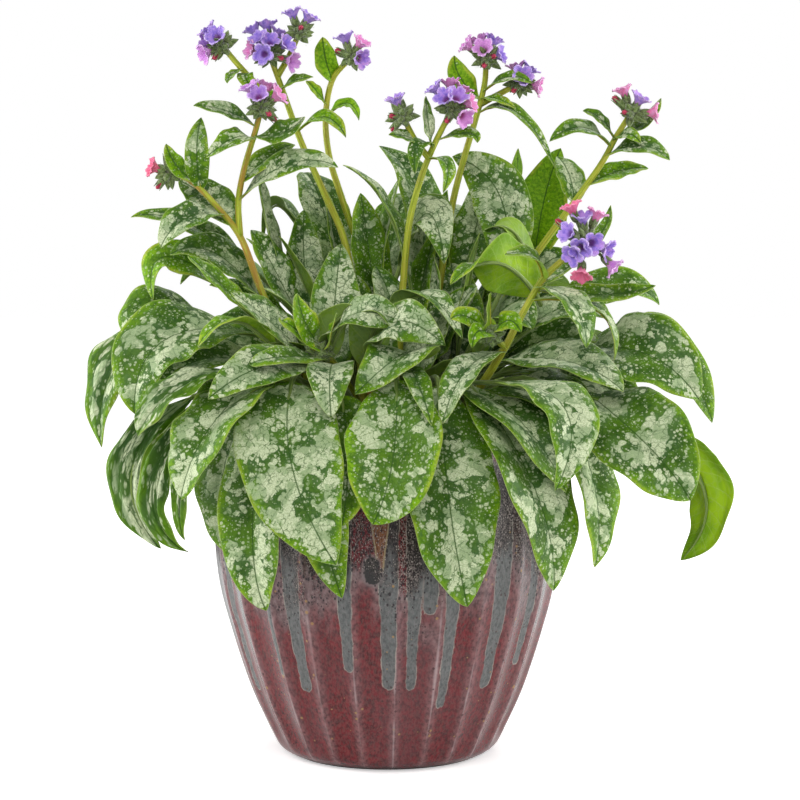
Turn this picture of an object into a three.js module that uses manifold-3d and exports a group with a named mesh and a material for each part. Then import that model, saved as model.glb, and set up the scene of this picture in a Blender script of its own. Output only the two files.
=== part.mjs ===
// Potted lungwort: a clump of spotted leaves and leafy flower stems in a fluted glazed pot.
// Millimetres, +Z up. The origin is the middle of the pot's flat foot, and the view is along +Y.
import * as THREE from "three";
import { mergeVertices } from "three/addons/utils/BufferGeometryUtils.js";
import Module from "manifold-3d";

const wasm = await Module();
wasm.setup();

// Pot, thrown stoneware with twenty-four flutes
const POT_HEIGHT = 229;
const POT_WALL = 8;
const POT_FLOOR = 12;
const FLUTE_COUNT = 24;
const FLUTE_DEPTH = 2.2;
const FLUTE_TURN = 3;
const OUTSIDE_FACETS = 2 * FLUTE_COUNT;
const INSIDE_FACETS = 18;
// Outer radius and height, from the foot up to the shoulder of the rim
const POT_OUTLINE = [
  [62, 0],
  [72, 6],
  [80, 21],
  [91, 46],
  [103, 83],
  [111, 116],
  [113.5, 155],
  [112, 212],
];
const POT_ROWS = 6;
const LIP_OUTER_RADIUS = 110.5;
const LIP_TOP_RADIUS = 108.5;
const LIP_INNER_RADIUS = 103.5;
const LIP_DEPTH = 4;
const FLOOR_EDGE = 12;
const DRAIN_COUNT = 3;
const DRAIN_RADIUS = 6;
const DRAIN_CIRCLE = 34;

// Soil, a filling with a plain hole for every petiole and stem
const SOIL_TOP = 205;
const HOLE_DEPTH = 12;
const HOLE_SIDES = 4;
const CLEARANCE = 0.35;

// Joined solids lose the corners that lie this close to the face beside them
const JOIN_TOLERANCE = 0.05;

// Leaves
const BLADE_THICKNESS = 0.8;
const BLADE_FOLD = 0.22;
const BLADE_LEAST_HALF = 1.2;
const BRACT_RIB = 1;
const PETIOLE_RADIUS = 1.7;
const PETIOLE_STEPS = 2;
const PETIOLE_RISE = 0.5;
const PETIOLE_RUN = 0.35;
const SHOOT_RADIUS = 5;

// Stems, thinner where they branch and at the top
const STEM_RADIUS = 2.8;
const STEM_SIDES = 6;
const STEM_STEPS = 7;
const BRANCH_STEPS = 3;
const BRANCH_SHARE = 0.75;
const STEM_TOP_SHARE = 0.65;

// Flowers
const PEDICEL_RADIUS = 1.2;
const CALYX_RADIUS = 2.7;
const CALYX_DEPTH = 6;
const LOBE_RADIUS = 7.2;
const NOTCH_RADIUS = 5.2;
const THROAT_DEPTH = 3.5;
const BUD_DEPTH = 4;
const BUD_TIP_RADIUS = 0.8;
const CORE_RADIUS = 3;

// Large leaves of the skirt, each on its own petiole: base, middle and tip of the midrib.
// Their feet stand on two rings, the higher leaves on the inner one.
const SKIRT_RINGS = [47, 60];
const SKIRT_LEAVES = [
  { name: "leaf_front_1", ring: 0, width: 64, roll: 0,
    base: [-58, -97, 250], middle: [-56, -136, 200], tip: [-30, -140, 143] },
  { name: "leaf_front_2", ring: 1, width: 36, roll: 0,
    base: [-44, -103, 240], middle: [-41, -114, 176], tip: [-27, -116, 119] },
  { name: "leaf_front_3", ring: 1, width: 38, roll: 0,
    base: [-28, -106, 242], middle: [-23, -124, 206], tip: [-27, -122, 164] },
  { name: "leaf_front_4", ring: 1, width: 58, roll: 0,
    base: [6, -108, 252], middle: [4, -143, 206], tip: [-8, -144, 168] },
  { name: "leaf_front_5", ring: 1, width: 62, roll: 0,
    base: [32, -100, 247], middle: [38, -128, 178], tip: [49, -130, 116] },
  { name: "leaf_front_6", ring: 1, width: 56, roll: 0,
    base: [52, -94, 247], middle: [89, -134, 188], tip: [101, -131, 126] },
  { name: "leaf_front_7", ring: 0, width: 42, roll: 0,
    base: [66, -102, 250], middle: [106, -148, 237], tip: [100, -158, 190] },
  { name: "leaf_front_8", ring: 1, width: 38, roll: 0,
    base: [106, -92, 240], middle: [126, -116, 188], tip: [127, -116, 138] },
  { name: "leaf_right_1", ring: 0, width: 60, roll: 45,
    base: [118, -78, 246], middle: [157, -118, 214], tip: [184, -124, 180] },
  { name: "leaf_right_2", ring: 1, width: 38, roll: -62,
    base: [168, -40, 222], middle: [202, -54, 176], tip: [186, -60, 134] },
  { name: "leaf_right_3", ring: 0, width: 58, roll: 42,
    base: [118, -46, 264], middle: [160, -76, 266], tip: [193, -88, 238] },
  { name: "leaf_right_4", ring: 0, width: 50, roll: 28,
    base: [126, -8, 268], middle: [174, -28, 268], tip: [207, -44, 220] },
  { name: "leaf_right_5", ring: 0, width: 46, roll: 18,
    base: [62, -50, 256], middle: [108, -84, 262], tip: [144, -112, 245] },
  { name: "leaf_left_1", ring: 1, width: 44, roll: 0,
    base: [-71, -86, 246], middle: [-81, -118, 165], tip: [-73, -120, 112] },
  { name: "leaf_left_2", ring: 1, width: 44, roll: 0,
    base: [-84, -66, 239], middle: [-102, -80, 188], tip: [-99, -82, 141] },
  { name: "leaf_left_3", ring: 0, width: 52, roll: 0,
    base: [-76, -84, 250], middle: [-106, -130, 224], tip: [-123, -138, 182] },
  { name: "leaf_left_4", ring: 1, width: 20, roll: 0,
    base: [-104, -62, 240], middle: [-124, -96, 192], tip: [-124, -102, 153] },
  { name: "leaf_left_5", ring: 1, width: 32, roll: -40,
    base: [-124, -36, 236], middle: [-161, -58, 192], tip: [-142, -70, 143] },
  { name: "leaf_left_6", ring: 1, width: 22, roll: -25,
    base: [-120, -52, 234], middle: [-145, -84, 180], tip: [-123, -92, 144] },
  { name: "leaf_left_7", ring: 0, width: 58, roll: -30,
    base: [-82, -46, 276], middle: [-138, -76, 274], tip: [-155, -94, 230] },
  { name: "leaf_left_8", ring: 0, width: 34, roll: -10,
    base: [-90, -76, 256], middle: [-128, -114, 245], tip: [-150, -124, 219] },
  { name: "leaf_left_9", ring: 0, width: 40, roll: -25,
    base: [-120, 22, 284], middle: [-158, 12, 292], tip: [-170, 4, 268] },
  { name: "leaf_left_10", ring: 0, width: 44, roll: -30,
    base: [-122, -14, 266], middle: [-170, -30, 260], tip: [-182, -42, 204] },
];

// Leaf rosettes, each a short shoot in the soil with the inner leaves that grow from it
const ROSETTES = [
  {
    name: "rosette_front_left",
    foot: [-20, -24],
    leaves: [
      { base: [-36, -32, 248], middle: [-34, -28, 292], tip: [-30, -2, 333], width: 35, roll: 0 },
      { base: [-46, -50, 256], middle: [-72, -66, 284], tip: [-97, -72, 304], width: 34, roll: -45 },
      { base: [-42, -62, 256], middle: [-30, -76, 288], tip: [-3, -82, 291], width: 22, roll: 0 },
      { base: [-46, -84, 258], middle: [-75, -112, 260], tip: [-107, -130, 242], width: 34, roll: -35 },
      { base: [-80, -38, 282], middle: [-107, -43, 309], tip: [-126, -44, 326], width: 22, roll: -30 },
      { base: [-70, -62, 268], middle: [-94, -88, 287], tip: [-115, -102, 272], width: 24, roll: 0 },
    ],
  },
  {
    name: "rosette_front",
    foot: [4, -40],
    leaves: [
      { base: [-14, -66, 258], middle: [-2, -88, 288], tip: [21, -96, 276], width: 32, roll: 0 },
      { base: [14, -74, 262], middle: [8, -104, 266], tip: [-19, -119, 244], width: 44, roll: 0 },
      { base: [4, -44, 276], middle: [22, -58, 302], tip: [47, -74, 275], width: 32, roll: 0 },
      { base: [12, -96, 260], middle: [19, -126, 251], tip: [27, -150, 228], width: 16, roll: 0 },
    ],
  },
  {
    name: "rosette_left",
    foot: [-36, -2],
    leaves: [
      { base: [-46, 0, 262], middle: [-54, 6, 312], tip: [-55, 25, 355], width: 32, roll: 0 },
      { base: [-78, -8, 290], middle: [-110, -12, 326], tip: [-140, -14, 326], width: 34, roll: -35 },
      { base: [-96, 14, 296], middle: [-144, 12, 324], tip: [-153, 6, 296], width: 26, roll: -50 },
      { base: [-84, 12, 312], middle: [-130, 14, 345], tip: [-168, 12, 350], width: 22, roll: -30 },
      { base: [-64, 2, 300], middle: [-79, 4, 350], tip: [-84, 8, 384], width: 26, roll: 0 },
      { base: [-54, -8, 276], middle: [-74, -12, 318], tip: [-88, -14, 342], width: 28, roll: -50 },
      { base: [-64, -14, 252], middle: [-94, -22, 268], tip: [-122, -30, 254], width: 42, roll: -25 },
    ],
  },
  {
    name: "rosette_middle",
    foot: [2, 6],
    leaves: [
      { base: [16, 6, 300], middle: [0, 10, 356], tip: [-29, 14, 384], width: 24, roll: 0 },
      { base: [8, 18, 318], middle: [26, 8, 352], tip: [37, -10, 320], width: 32, roll: 50 },
      { base: [-46, 34, 320], middle: [-72, 34, 358], tip: [-82, 22, 330], width: 28, roll: 0 },
      { base: [-8, 28, 290], middle: [-13, 32, 330], tip: [-18, 38, 366], width: 30, roll: 0 },
    ],
  },
  {
    name: "rosette_right",
    foot: [38, -4],
    leaves: [
      { base: [78, 8, 318], middle: [73, 22, 366], tip: [43, 34, 390], width: 38, roll: 0 },
      { base: [96, -26, 300], middle: [68, -44, 322], tip: [40, -56, 308], width: 38, roll: 50 },
      { base: [92, -4, 312], middle: [82, -14, 340], tip: [62, -24, 342], width: 28, roll: 0 },
      { base: [104, 20, 280], middle: [150, 26, 304], tip: [180, 26, 292], width: 36, roll: 35 },
      { base: [50, 30, 300], middle: [60, 42, 346], tip: [70, 52, 380], width: 32, roll: 0 },
      { base: [76, -28, 266], middle: [112, -32, 292], tip: [142, -34, 286], width: 40, roll: 30 },
      { base: [58, -30, 262], middle: [76, -44, 288], tip: [92, -56, 280], width: 40, roll: 20 },
    ],
  },
  {
    name: "rosette_back_right",
    foot: [28, 36],
    leaves: [
      { base: [78, 50, 320], middle: [86, 56, 366], tip: [88, 62, 396], width: 26, roll: 0 },
      { base: [98, 44, 310], middle: [104, 52, 356], tip: [116, 52, 396], width: 38, roll: 60 },
      { base: [40, 78, 300], middle: [50, 112, 350], tip: [56, 140, 350], width: 42, roll: 0 },
      { base: [76, 76, 288], middle: [104, 106, 306], tip: [118, 124, 282], width: 44, roll: 0 },
      { base: [22, 56, 310], middle: [20, 66, 366], tip: [-6, 80, 398], width: 36, roll: 0 },
    ],
  },
  {
    name: "rosette_back_left",
    foot: [-18, 34],
    leaves: [
      { base: [-34, 58, 310], middle: [-46, 76, 360], tip: [-58, 98, 380], width: 36, roll: 0 },
      { base: [-74, 54, 290], middle: [-110, 70, 318], tip: [-142, 80, 304], width: 40, roll: 0 },
      { base: [-20, 86, 300], middle: [-26, 126, 324], tip: [-30, 156, 300], width: 44, roll: 0 },
      { base: [-52, 84, 286], middle: [-76, 118, 300], tip: [-92, 138, 274], width: 44, roll: 0 },
      { base: [-4, 62, 300], middle: [6, 84, 346], tip: [12, 108, 366], width: 36, roll: 0 },
    ],
  },
];

// Hidden back of the skirt: leaves set round at even turns, every second one lower and longer
const BACK_COUNT = 7;
const BACK_TURN_FIRST = 22;
const BACK_TURN_LAST = 160;
const BACK_HIGH = { reach: [104, 150, 176], height: [262, 262, 208], width: 56 };
const BACK_LOW = { reach: [106, 140, 150], height: [244, 218, 158], width: 54 };

// Flowering stems. Way 0 rises from the soil and the others branch from it, through the points given.
// A leaf leaves its way at a height. A head ends its way, and lists its flowers from its middle.
const STEMS = [
  {
    name: "stem_left",
    ways: [
      [[-34, -14], [-56, -20, 255], [-80, -25, 302], [-94, -25, 338], [-106, -25, 354], [-126, -24, 374]],
      [[-94, -25, 338], [-95, -25, 360], [-91, -25, 382], [-84, -25, 405]],
    ],
    leaves: [
      { way: 1, at: 361, middle: [-62, -30, 384], tip: [-31, -32, 382], width: 24, roll: 42 },
      { way: 1, at: 372, middle: [-74, -12, 390], tip: [-60, 0, 397], width: 20, roll: 20 },
      { way: 0, at: 368, middle: [-121, -30, 392], tip: [-119, -18, 414], width: 16, roll: 0 },
      { way: 0, at: 352, middle: [-128, -36, 349], tip: [-143, -44, 331], width: 28, roll: -30 },
      { way: 0, at: 344, middle: [-116, -8, 362], tip: [-136, 4, 374], width: 28, roll: -35 },
      { way: 1, at: 408, middle: [-104, -28, 418], tip: [-123, -30, 421], width: 17, roll: -35 },
      { way: 1, at: 400, middle: [-97, -34, 400], tip: [-114, -40, 388], width: 20, roll: -30 },
      { way: 1, at: 402, middle: [-66, -30, 406], tip: [-53, -32, 415], width: 15, roll: 35 },
    ],
    heads: [
      {
        name: "flowers_far_left",
        way: 0,
        colour: "pink",
        at: [-140, -20, 379],
        corollas: [[-12, -4, 4]],
        buds: [[-1, -3, 12], [3, -5, -11], [-7, -5, -10]],
      },
      {
        name: "flowers_left_low",
        way: 1,
        colour: "pink",
        at: [-80, -25, 420],
        corollas: [[-8, -4, 15], [4, 2, 16], [13, -4, 9], [-2, -12, 9]],
        buds: [[6, -11, -5], [-10, -6, -5], [9, 3, -8]],
      },
    ],
  },
  {
    name: "stem_back_left",
    ways: [
      [[-15, 4], [-19, 8, 270], [-28, 15, 334], [-42, 20, 367], [-56, 20, 398], [-69, 20, 434]],
      [[-66, 20, 426], [-84, 20, 436], [-98, 20, 450]],
      [[-72, 20, 442], [-64, 22, 456]],
    ],
    leaves: [
      { way: 0, at: 434, middle: [-62, 12, 438], tip: [-54, 8, 441], width: 10, roll: 25 },
      { way: 0, at: 406, middle: [-41, 13, 415], tip: [-27, 10, 402], width: 16, roll: 30 },
      { way: 1, at: 447, middle: [-101, 12, 443], tip: [-104, 6, 437], width: 9, roll: 0 },
    ],
    heads: [
      {
        name: "flowers_top_left",
        way: 1,
        colour: "violet",
        at: [-108, 20, 462],
        corollas: [[-11, -2, 12], [-4, -12, 7], [-15, 1, 2], [-13, -7, -6]],
        buds: [[-5, -8, -9], [11, -3, 4]],
      },
      {
        name: "flowers_top",
        way: 0,
        colour: "violet",
        at: [-77, 20, 456],
        corollas: [
          [-12, 2, 19], [-2, 3, 22], [7, 0, 17], [-8, -9, 12], [-14, -7, 4],
          [1, -12, 10], [13, -9, 8], [-4, -16, 0], [17, -10, -5],
        ],
        buds: [[9, -12, -3], [-10, -6, -6]],
      },
      {
        name: "flowers_top_small",
        way: 2,
        colour: "violet",
        at: [-58, 23, 470],
        corollas: [[-5, 0, 16], [8, -2, 13]],
        buds: [[2, -10, 4], [10, 0, 1]],
      },
    ],
  },
  {
    name: "stem_back",
    ways: [
      [[6, 28], [-6, 45, 290], [-31, 46, 364], [-39, 44, 391], [-41, 40, 418], [-36, 40, 442]],
    ],
    leaves: [
      { way: 0, at: 416, middle: [-27, 40, 425], tip: [-19, 38, 414], width: 13, roll: 30 },
      { way: 0, at: 440, middle: [-42, 36, 455], tip: [-43, 42, 468], width: 13, roll: 0 },
    ],
    heads: [
      {
        name: "flowers_back",
        way: 0,
        colour: "pink",
        at: [-24, 38, 456],
        corollas: [[-5, 0, 15], [8, -4, 11], [8, -10, -2]],
        buds: [[-10, -5, 4], [4, -7, -10]],
      },
    ],
  },
  {
    name: "stem_middle",
    ways: [
      [[8, -10], [8, -8, 270], [11, -6, 315], [15, -5, 350], [22, -5, 376], [30, -6, 396]],
      [[27, -6, 388], [18, -7, 400]],
    ],
    leaves: [
      { way: 1, at: 398, middle: [12, -12, 402], tip: [3, -15, 403], width: 9, roll: -20 },
      { way: 0, at: 394, middle: [26, -12, 412], tip: [25, -8, 428], width: 10, roll: 0 },
      { way: 0, at: 388, middle: [38, -12, 384], tip: [36, -16, 366], width: 14, roll: 0 },
    ],
    heads: [
      {
        name: "flowers_middle_small",
        way: 1,
        colour: "violet",
        at: [10, -8, 415],
        corollas: [[-5, -3, 13]],
        buds: [[-8, -8, 0], [7, -3, 8], [-7, -2, -9]],
      },
      {
        name: "flowers_middle",
        way: 0,
        colour: "violet",
        at: [42, -8, 420],
        corollas: [
          [-13, -2, 15], [-2, 2, 19], [8, 0, 15], [-6, -12, 8], [4, -11, 9], [14, -5, 4], [9, -11, -7],
        ],
        buds: [[-4, -11, -9], [-12, -5, 0]],
      },
    ],
  },
  {
    name: "stem_back_right",
    ways: [
      [[22, 16], [32, 15, 290], [43, 18, 360], [51, 20, 391], [59, 22, 418], [64, 25, 438]],
      [[61, 25, 424], [72, 25, 430]],
    ],
    leaves: [
      { way: 0, at: 427, middle: [48, 22, 441], tip: [44, 26, 454], width: 14, roll: 0 },
      { way: 0, at: 418, middle: [85, 18, 418], tip: [110, 14, 382], width: 15, roll: 25 },
    ],
    heads: [
      {
        name: "flowers_right_high",
        way: 0,
        colour: "pink",
        at: [65, 25, 454],
        corollas: [[-15, -2, 10], [-6, 3, 14], [6, 2, 14], [11, -4, 3], [-3, -12, 7]],
        buds: [[5, -11, 1], [-10, -4, -5], [-2, -11, -6]],
      },
      {
        name: "flowers_right_small",
        way: 1,
        colour: "violet",
        at: [87, 24, 438],
        corollas: [[-3, 0, 13], [8, -1, 11], [14, -3, -3], [2, -12, 5]],
        buds: [[-5, -9, -6], [8, -8, -7]],
      },
    ],
  },
  {
    name: "stem_right",
    ways: [
      [[38, 12], [62, 14, 270], [92, 13, 318], [128, 11, 368], [141, 10, 387], [149, 10, 402]],
    ],
    leaves: [
      { way: 0, at: 402, middle: [169, 20, 412], tip: [180, 24, 428], width: 13, roll: 20 },
      { way: 0, at: 401, middle: [138, 6, 414], tip: [130, 4, 421], width: 10, roll: -20 },
      { way: 0, at: 396, middle: [126, 2, 408], tip: [105, -4, 399], width: 18, roll: -35 },
      { way: 0, at: 390, middle: [165, 2, 396], tip: [183, -2, 387], width: 20, roll: 35 },
      { way: 0, at: 370, middle: [152, 20, 380], tip: [170, 26, 382], width: 17, roll: 25 },
      { way: 0, at: 360, middle: [119, 20, 378], tip: [112, 30, 390], width: 22, roll: 0 },
    ],
    heads: [
      {
        name: "flowers_right",
        way: 0,
        colour: "pink",
        at: [159, 10, 418],
        corollas: [[-6, -1, 17], [7, -3, 11], [17, -3, 0]],
        buds: [[-12, -3, 10], [10, -7, -7], [-6, -10, 0]],
      },
    ],
  },
  {
    name: "stem_front_right",
    ways: [
      [[40, -46], [58, -76, 245], [73, -90, 271], [86, -91, 296], [97, -91, 314], [110, -90, 326]],
      [[73, -90, 271], [66, -98, 277], [63, -102, 280]],
    ],
    leaves: [
      { way: 0, at: 308, middle: [128, -68, 332], tip: [140, -62, 358], width: 18, roll: 0 },
      { way: 0, at: 306, middle: [136, -86, 303], tip: [165, -94, 309], width: 17, roll: 40 },
      { way: 0, at: 313, middle: [89, -100, 327], tip: [72, -104, 328], width: 20, roll: -30 },
      { way: 0, at: 308, middle: [113, -112, 298], tip: [121, -118, 272], width: 30, roll: 0 },
      { way: 0, at: 300, middle: [129, -96, 294], tip: [139, -106, 264], width: 22, roll: 0 },
      { way: 0, at: 268, middle: [48, -124, 258], tip: [34, -140, 228], width: 27, roll: 0 },
      { way: 1, at: 276, middle: [50, -108, 290], tip: [39, -110, 289], width: 13, roll: -20 },
      { way: 1, at: 279, middle: [63, -107, 293], tip: [64, -102, 303], width: 13, roll: 0 },
      { way: 1, at: 278, middle: [74, -108, 288], tip: [80, -110, 281], width: 12, roll: 20 },
    ],
    heads: [
      {
        name: "flowers_front_right",
        way: 0,
        colour: "violet",
        at: [122, -90, 336],
        corollas: [
          [-10, -2, 23], [-2, -6, 17], [8, -1, 19], [-13, -11, 6], [-5, -17, -5],
          [5, -15, -1], [15, -8, -6], [19, -5, -17], [-10, -17, -9], [-4, -14, -22],
        ],
        buds: [[-18, -3, 13], [-17, -6, 5]],
      },
    ],
    tipBuds: [[-4, -6, 7], [4, -6, 7], [0, -9, 1]],
  },
  {
    name: "stem_front_left",
    ways: [
      [[-12, -38], [-31, -64, 256], [-46, -93, 272]],
    ],
    leaves: [
      { way: 0, at: 262, middle: [-62, -112, 266], tip: [-83, -116, 262], width: 20, roll: -30 },
      { way: 0, at: 264, middle: [-52, -96, 288], tip: [-56, -88, 301], width: 18, roll: 0 },
      { way: 0, at: 264, middle: [-34, -104, 276], tip: [-32, -106, 288], width: 11, roll: 0 },
      { way: 0, at: 258, middle: [-34, -122, 256], tip: [-33, -134, 231], width: 29, roll: 0 },
    ],
    heads: [],
    tipBuds: [[-4, -8, 8], [4, -7, 7], [-8, -7, 1], [2, -9, -2]],
  },
];

const toVector = (p) => new THREE.Vector3(...p);

// A body of triangles through the points that the indices name
function indexedGeometry(points, indices) {
  const geometry = new THREE.BufferGeometry();
  const positions = points.flatMap((point) => point.toArray());
  geometry.setAttribute("position", new THREE.Float32BufferAttribute(positions, 3));
  geometry.setIndex(indices);
  return geometry;
}

// A closed body through rings of equal length. The second half of each ring is split
// into triangles the other way, so that the two faces of a thin blade match.
function loft(rings) {
  const count = rings[0].length;
  const half = count / 2;
  const indices = [];
  for (let i = 0; i < rings.length - 1; i++) {
    for (let j = 0; j < count; j++) {
      const a = i * count + j;
      const b = i * count + ((j + 1) % count);
      const c = b + count;
      const d = a + count;
      if (j < half) indices.push(a, b, c, a, c, d);
      else indices.push(a, b, d, b, c, d);
    }
  }
  const last = (rings.length - 1) * count;
  for (let j = 1; j < count - 1; j++) {
    indices.push(0, j + 1, j);
    indices.push(last, last + j, last + j + 1);
  }
  return indexedGeometry(rings.flat(), indices);
}

// A geometry as a solid that can be joined and cut
function toSolid(geometry) {
  const bare = new THREE.BufferGeometry();
  bare.setAttribute("position", geometry.getAttribute("position").clone());
  if (geometry.index) bare.setIndex(geometry.index.clone());
  const merged = mergeVertices(bare, 1e-3);
  const mesh = new wasm.Mesh({
    numProp: 3,
    vertProperties: new Float32Array(merged.getAttribute("position").array),
    triVerts: new Uint32Array(merged.index.array),
  });
  return new wasm.Manifold(mesh);
}

function toGeometry(solid) {
  const mesh = solid.getMesh();
  const geometry = new THREE.BufferGeometry();
  geometry.setAttribute("position", new THREE.Float32BufferAttribute(mesh.vertProperties, 3));
  geometry.setIndex(new THREE.Uint32BufferAttribute(mesh.triVerts, 1));
  return geometry;
}

const joinAll = (solids) => wasm.Manifold.union(solids).asOriginal().simplify(JOIN_TOLERANCE);

// A round bar along a curve, its radius going from one end's to the other's.
// A drop adds a straight length below its start, for a stem that stands in the soil.
function taperedBar(curve, steps, radiusStart, radiusEnd, drop) {
  const frames = curve.computeFrenetFrames(steps, false);
  const rings = [];
  for (let i = 0; i <= steps; i++) {
    const centre = curve.getPointAt(i / steps);
    const radius = THREE.MathUtils.lerp(radiusStart, radiusEnd, i / steps);
    const ring = [];
    for (let j = 0; j < STEM_SIDES; j++) {
      const turn = (2 * Math.PI * j) / STEM_SIDES;
      const out = frames.normals[i].clone().multiplyScalar(Math.cos(turn) * radius);
      out.addScaledVector(frames.binormals[i], Math.sin(turn) * radius);
      ring.push(out.add(centre));
    }
    rings.push(ring);
  }
  if (drop > 0) rings.unshift(rings[0].map((p) => p.clone().setZ(p.z - drop)));
  return loft(rings);
}

// Half width of a blade as a share of its widest, rounded at the base and pointed at the tip
const bladeOutline = (u) => 2.49 * Math.pow(u, 0.55) * Math.pow(1 - u, 0.8);

// The midrib is a quadratic curve through the base, the middle and the tip
function midrib(base, middle, tip) {
  const control = middle.clone().multiplyScalar(2).addScaledVector(base, -0.5).addScaledVector(tip, -0.5);
  return new THREE.QuadraticBezierCurve3(base, control, tip);
}

// Six points of a cross-section: upper face from one edge over the rib to the other, then the lower
function crossSection(centre, side, up, halfWidth, rise, ribThickness, edgeThickness) {
  const at = (across, height) => centre.clone().addScaledVector(side, across).addScaledVector(up, height);
  return [
    at(halfWidth, rise + edgeThickness),
    at(0, ribThickness),
    at(-halfWidth, rise + edgeThickness),
    at(-halfWidth, rise - edgeThickness),
    at(0, -ribThickness),
    at(halfWidth, rise - edgeThickness),
  ];
}

// A leaf: an arching petiole from its foot, and a blade folded at its rib.
// A drop adds a straight length below the foot, for a leaf that stands in the soil.
function leafGeometry({ base, middle, tip, width, roll }, foot, stations, drop = 0) {
  const root = toVector(base);
  const rib = midrib(root, toVector(middle), toVector(tip));
  const aim = toVector(tip).sub(foot ? foot : root).setZ(0).normalize();
  const level = new THREE.Vector3(-aim.y, aim.x, 0);
  const half = BLADE_THICKNESS / 2;
  const rings = [];
  const addRing = (centre, tangent, halfWidth, ribThickness, edgeThickness, rise, turn) => {
    const side = level.clone().addScaledVector(tangent, -level.dot(tangent)).normalize();
    const up = new THREE.Vector3().crossVectors(tangent, side);
    const rolled = side.clone().multiplyScalar(Math.cos(turn)).addScaledVector(up, Math.sin(turn));
    const raised = up.clone().multiplyScalar(Math.cos(turn)).addScaledVector(side, -Math.sin(turn));
    rings.push(crossSection(centre, rolled, raised, halfWidth, rise, ribThickness, edgeThickness));
  };
  if (foot) {
    const reach = foot.distanceTo(root);
    const upright = new THREE.Vector3(0, 0, 1);
    const petiole = new THREE.CubicBezierCurve3(
      foot,
      foot.clone().addScaledVector(upright, PETIOLE_RISE * reach),
      root.clone().addScaledVector(rib.getTangent(0), -PETIOLE_RUN * reach),
      root,
    );
    const radius = PETIOLE_RADIUS;
    if (drop > 0) addRing(foot.clone().setZ(foot.z - drop), upright, radius, radius, radius / 2, 0, 0);
    for (let i = 0; i < PETIOLE_STEPS; i++) {
      const t = i / PETIOLE_STEPS;
      addRing(petiole.getPoint(t), petiole.getTangent(t), radius, radius, radius / 2, 0, 0);
    }
  }
  const turn = THREE.MathUtils.degToRad(roll);
  for (const u of stations) {
    const halfWidth = Math.max((bladeOutline(u) * width) / 2, BLADE_LEAST_HALF);
    const ribThickness = THREE.MathUtils.lerp(foot ? PETIOLE_RADIUS : BRACT_RIB, half, Math.min(1, u * 6));
    const rise = BLADE_FOLD * halfWidth * Math.min(1, u * 4);
    const turnHere = turn * Math.min(1, u * 3);
    addRing(rib.getPoint(u), rib.getTangent(u), halfWidth, ribThickness, half, rise, turnHere);
  }
  return loft(rings);
}

const LARGE_STATIONS = [0, 0.14, 0.36, 0.6, 0.84, 1];
const SMALL_STATIONS = [0, 0.2, 0.5, 0.8, 1];
const BRACT_STATIONS = [0, 0.35, 0.7, 1];

function material(color, roughness) {
  return new THREE.MeshStandardMaterial({ color, roughness, metalness: 0 });
}
const FINISH = {
  glaze: material(0x7a3a40, 0.25),
  soil: material(0x3a2c20, 0.95),
  leaf: material(0x6f9460, 0.6),
  stem: material(0x9aa83e, 0.6),
  violet: material(0x6c5fd0, 0.55),
  pink: material(0xd8659c, 0.55),
};

const part = new THREE.Group();

function addPiece(name, geometry, finish) {
  const mesh = new THREE.Mesh(geometry, finish);
  mesh.name = name;
  part.add(mesh);
}

// Pot: the outline turned round, then hollowed between its ridges by a formula
const potSpline = new THREE.SplineCurve(POT_OUTLINE.map(([r, z]) => new THREE.Vector2(r, z)));
const outerRow = (i) => potSpline.getPoint(i / POT_ROWS);

// Radius of the pot's plain inside at a height
function innerRadius(height) {
  let nearest = outerRow(0);
  for (let i = 0; i <= 200; i++) {
    const point = potSpline.getPoint(i / 200);
    if (Math.abs(point.y - height) < Math.abs(nearest.y - height)) nearest = point;
  }
  return nearest.x - POT_WALL;
}

// Inside of the pot, plain, and wider at the lip
const insideHeights = [POT_FLOOR + FLOOR_EDGE, POT_HEIGHT / 2, SOIL_TOP];
const floorRadius = innerRadius(POT_FLOOR) - FLOOR_EDGE;
const outsideProfile = [
  [0, 0],
  ...Array.from({ length: POT_ROWS + 1 }, (_, i) => outerRow(i).toArray()),
  [LIP_OUTER_RADIUS, POT_HEIGHT - LIP_DEPTH],
  [LIP_TOP_RADIUS, POT_HEIGHT],
  [0, POT_HEIGHT],
];
const insideProfile = [
  [0, POT_FLOOR],
  [floorRadius, POT_FLOOR],
  ...insideHeights.map((z) => [innerRadius(z), z]),
  [LIP_INNER_RADIUS, POT_HEIGHT - LIP_DEPTH],
  [LIP_INNER_RADIUS + 2, POT_HEIGHT + 1],
  [0, POT_HEIGHT + 1],
];

function turnedGeometry(profile, facets) {
  const points = profile.map(([r, z]) => new THREE.Vector2(r, z));
  const turned = new THREE.LatheGeometry(points, facets, THREE.MathUtils.degToRad(FLUTE_TURN));
  return turned.rotateX(Math.PI / 2);
}

// Depth of the flutes at a height and an angle, fading out at the foot and below the lip
function fluteDepth(height, angle) {
  const fade = THREE.MathUtils.smoothstep(height, 4, 24) * (1 - THREE.MathUtils.smoothstep(height, 205, 225));
  const phase = THREE.MathUtils.euclideanModulo(((angle - FLUTE_TURN) * FLUTE_COUNT) / 360, 1);
  return FLUTE_DEPTH * fade * 4 * phase * (1 - phase);
}

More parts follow.
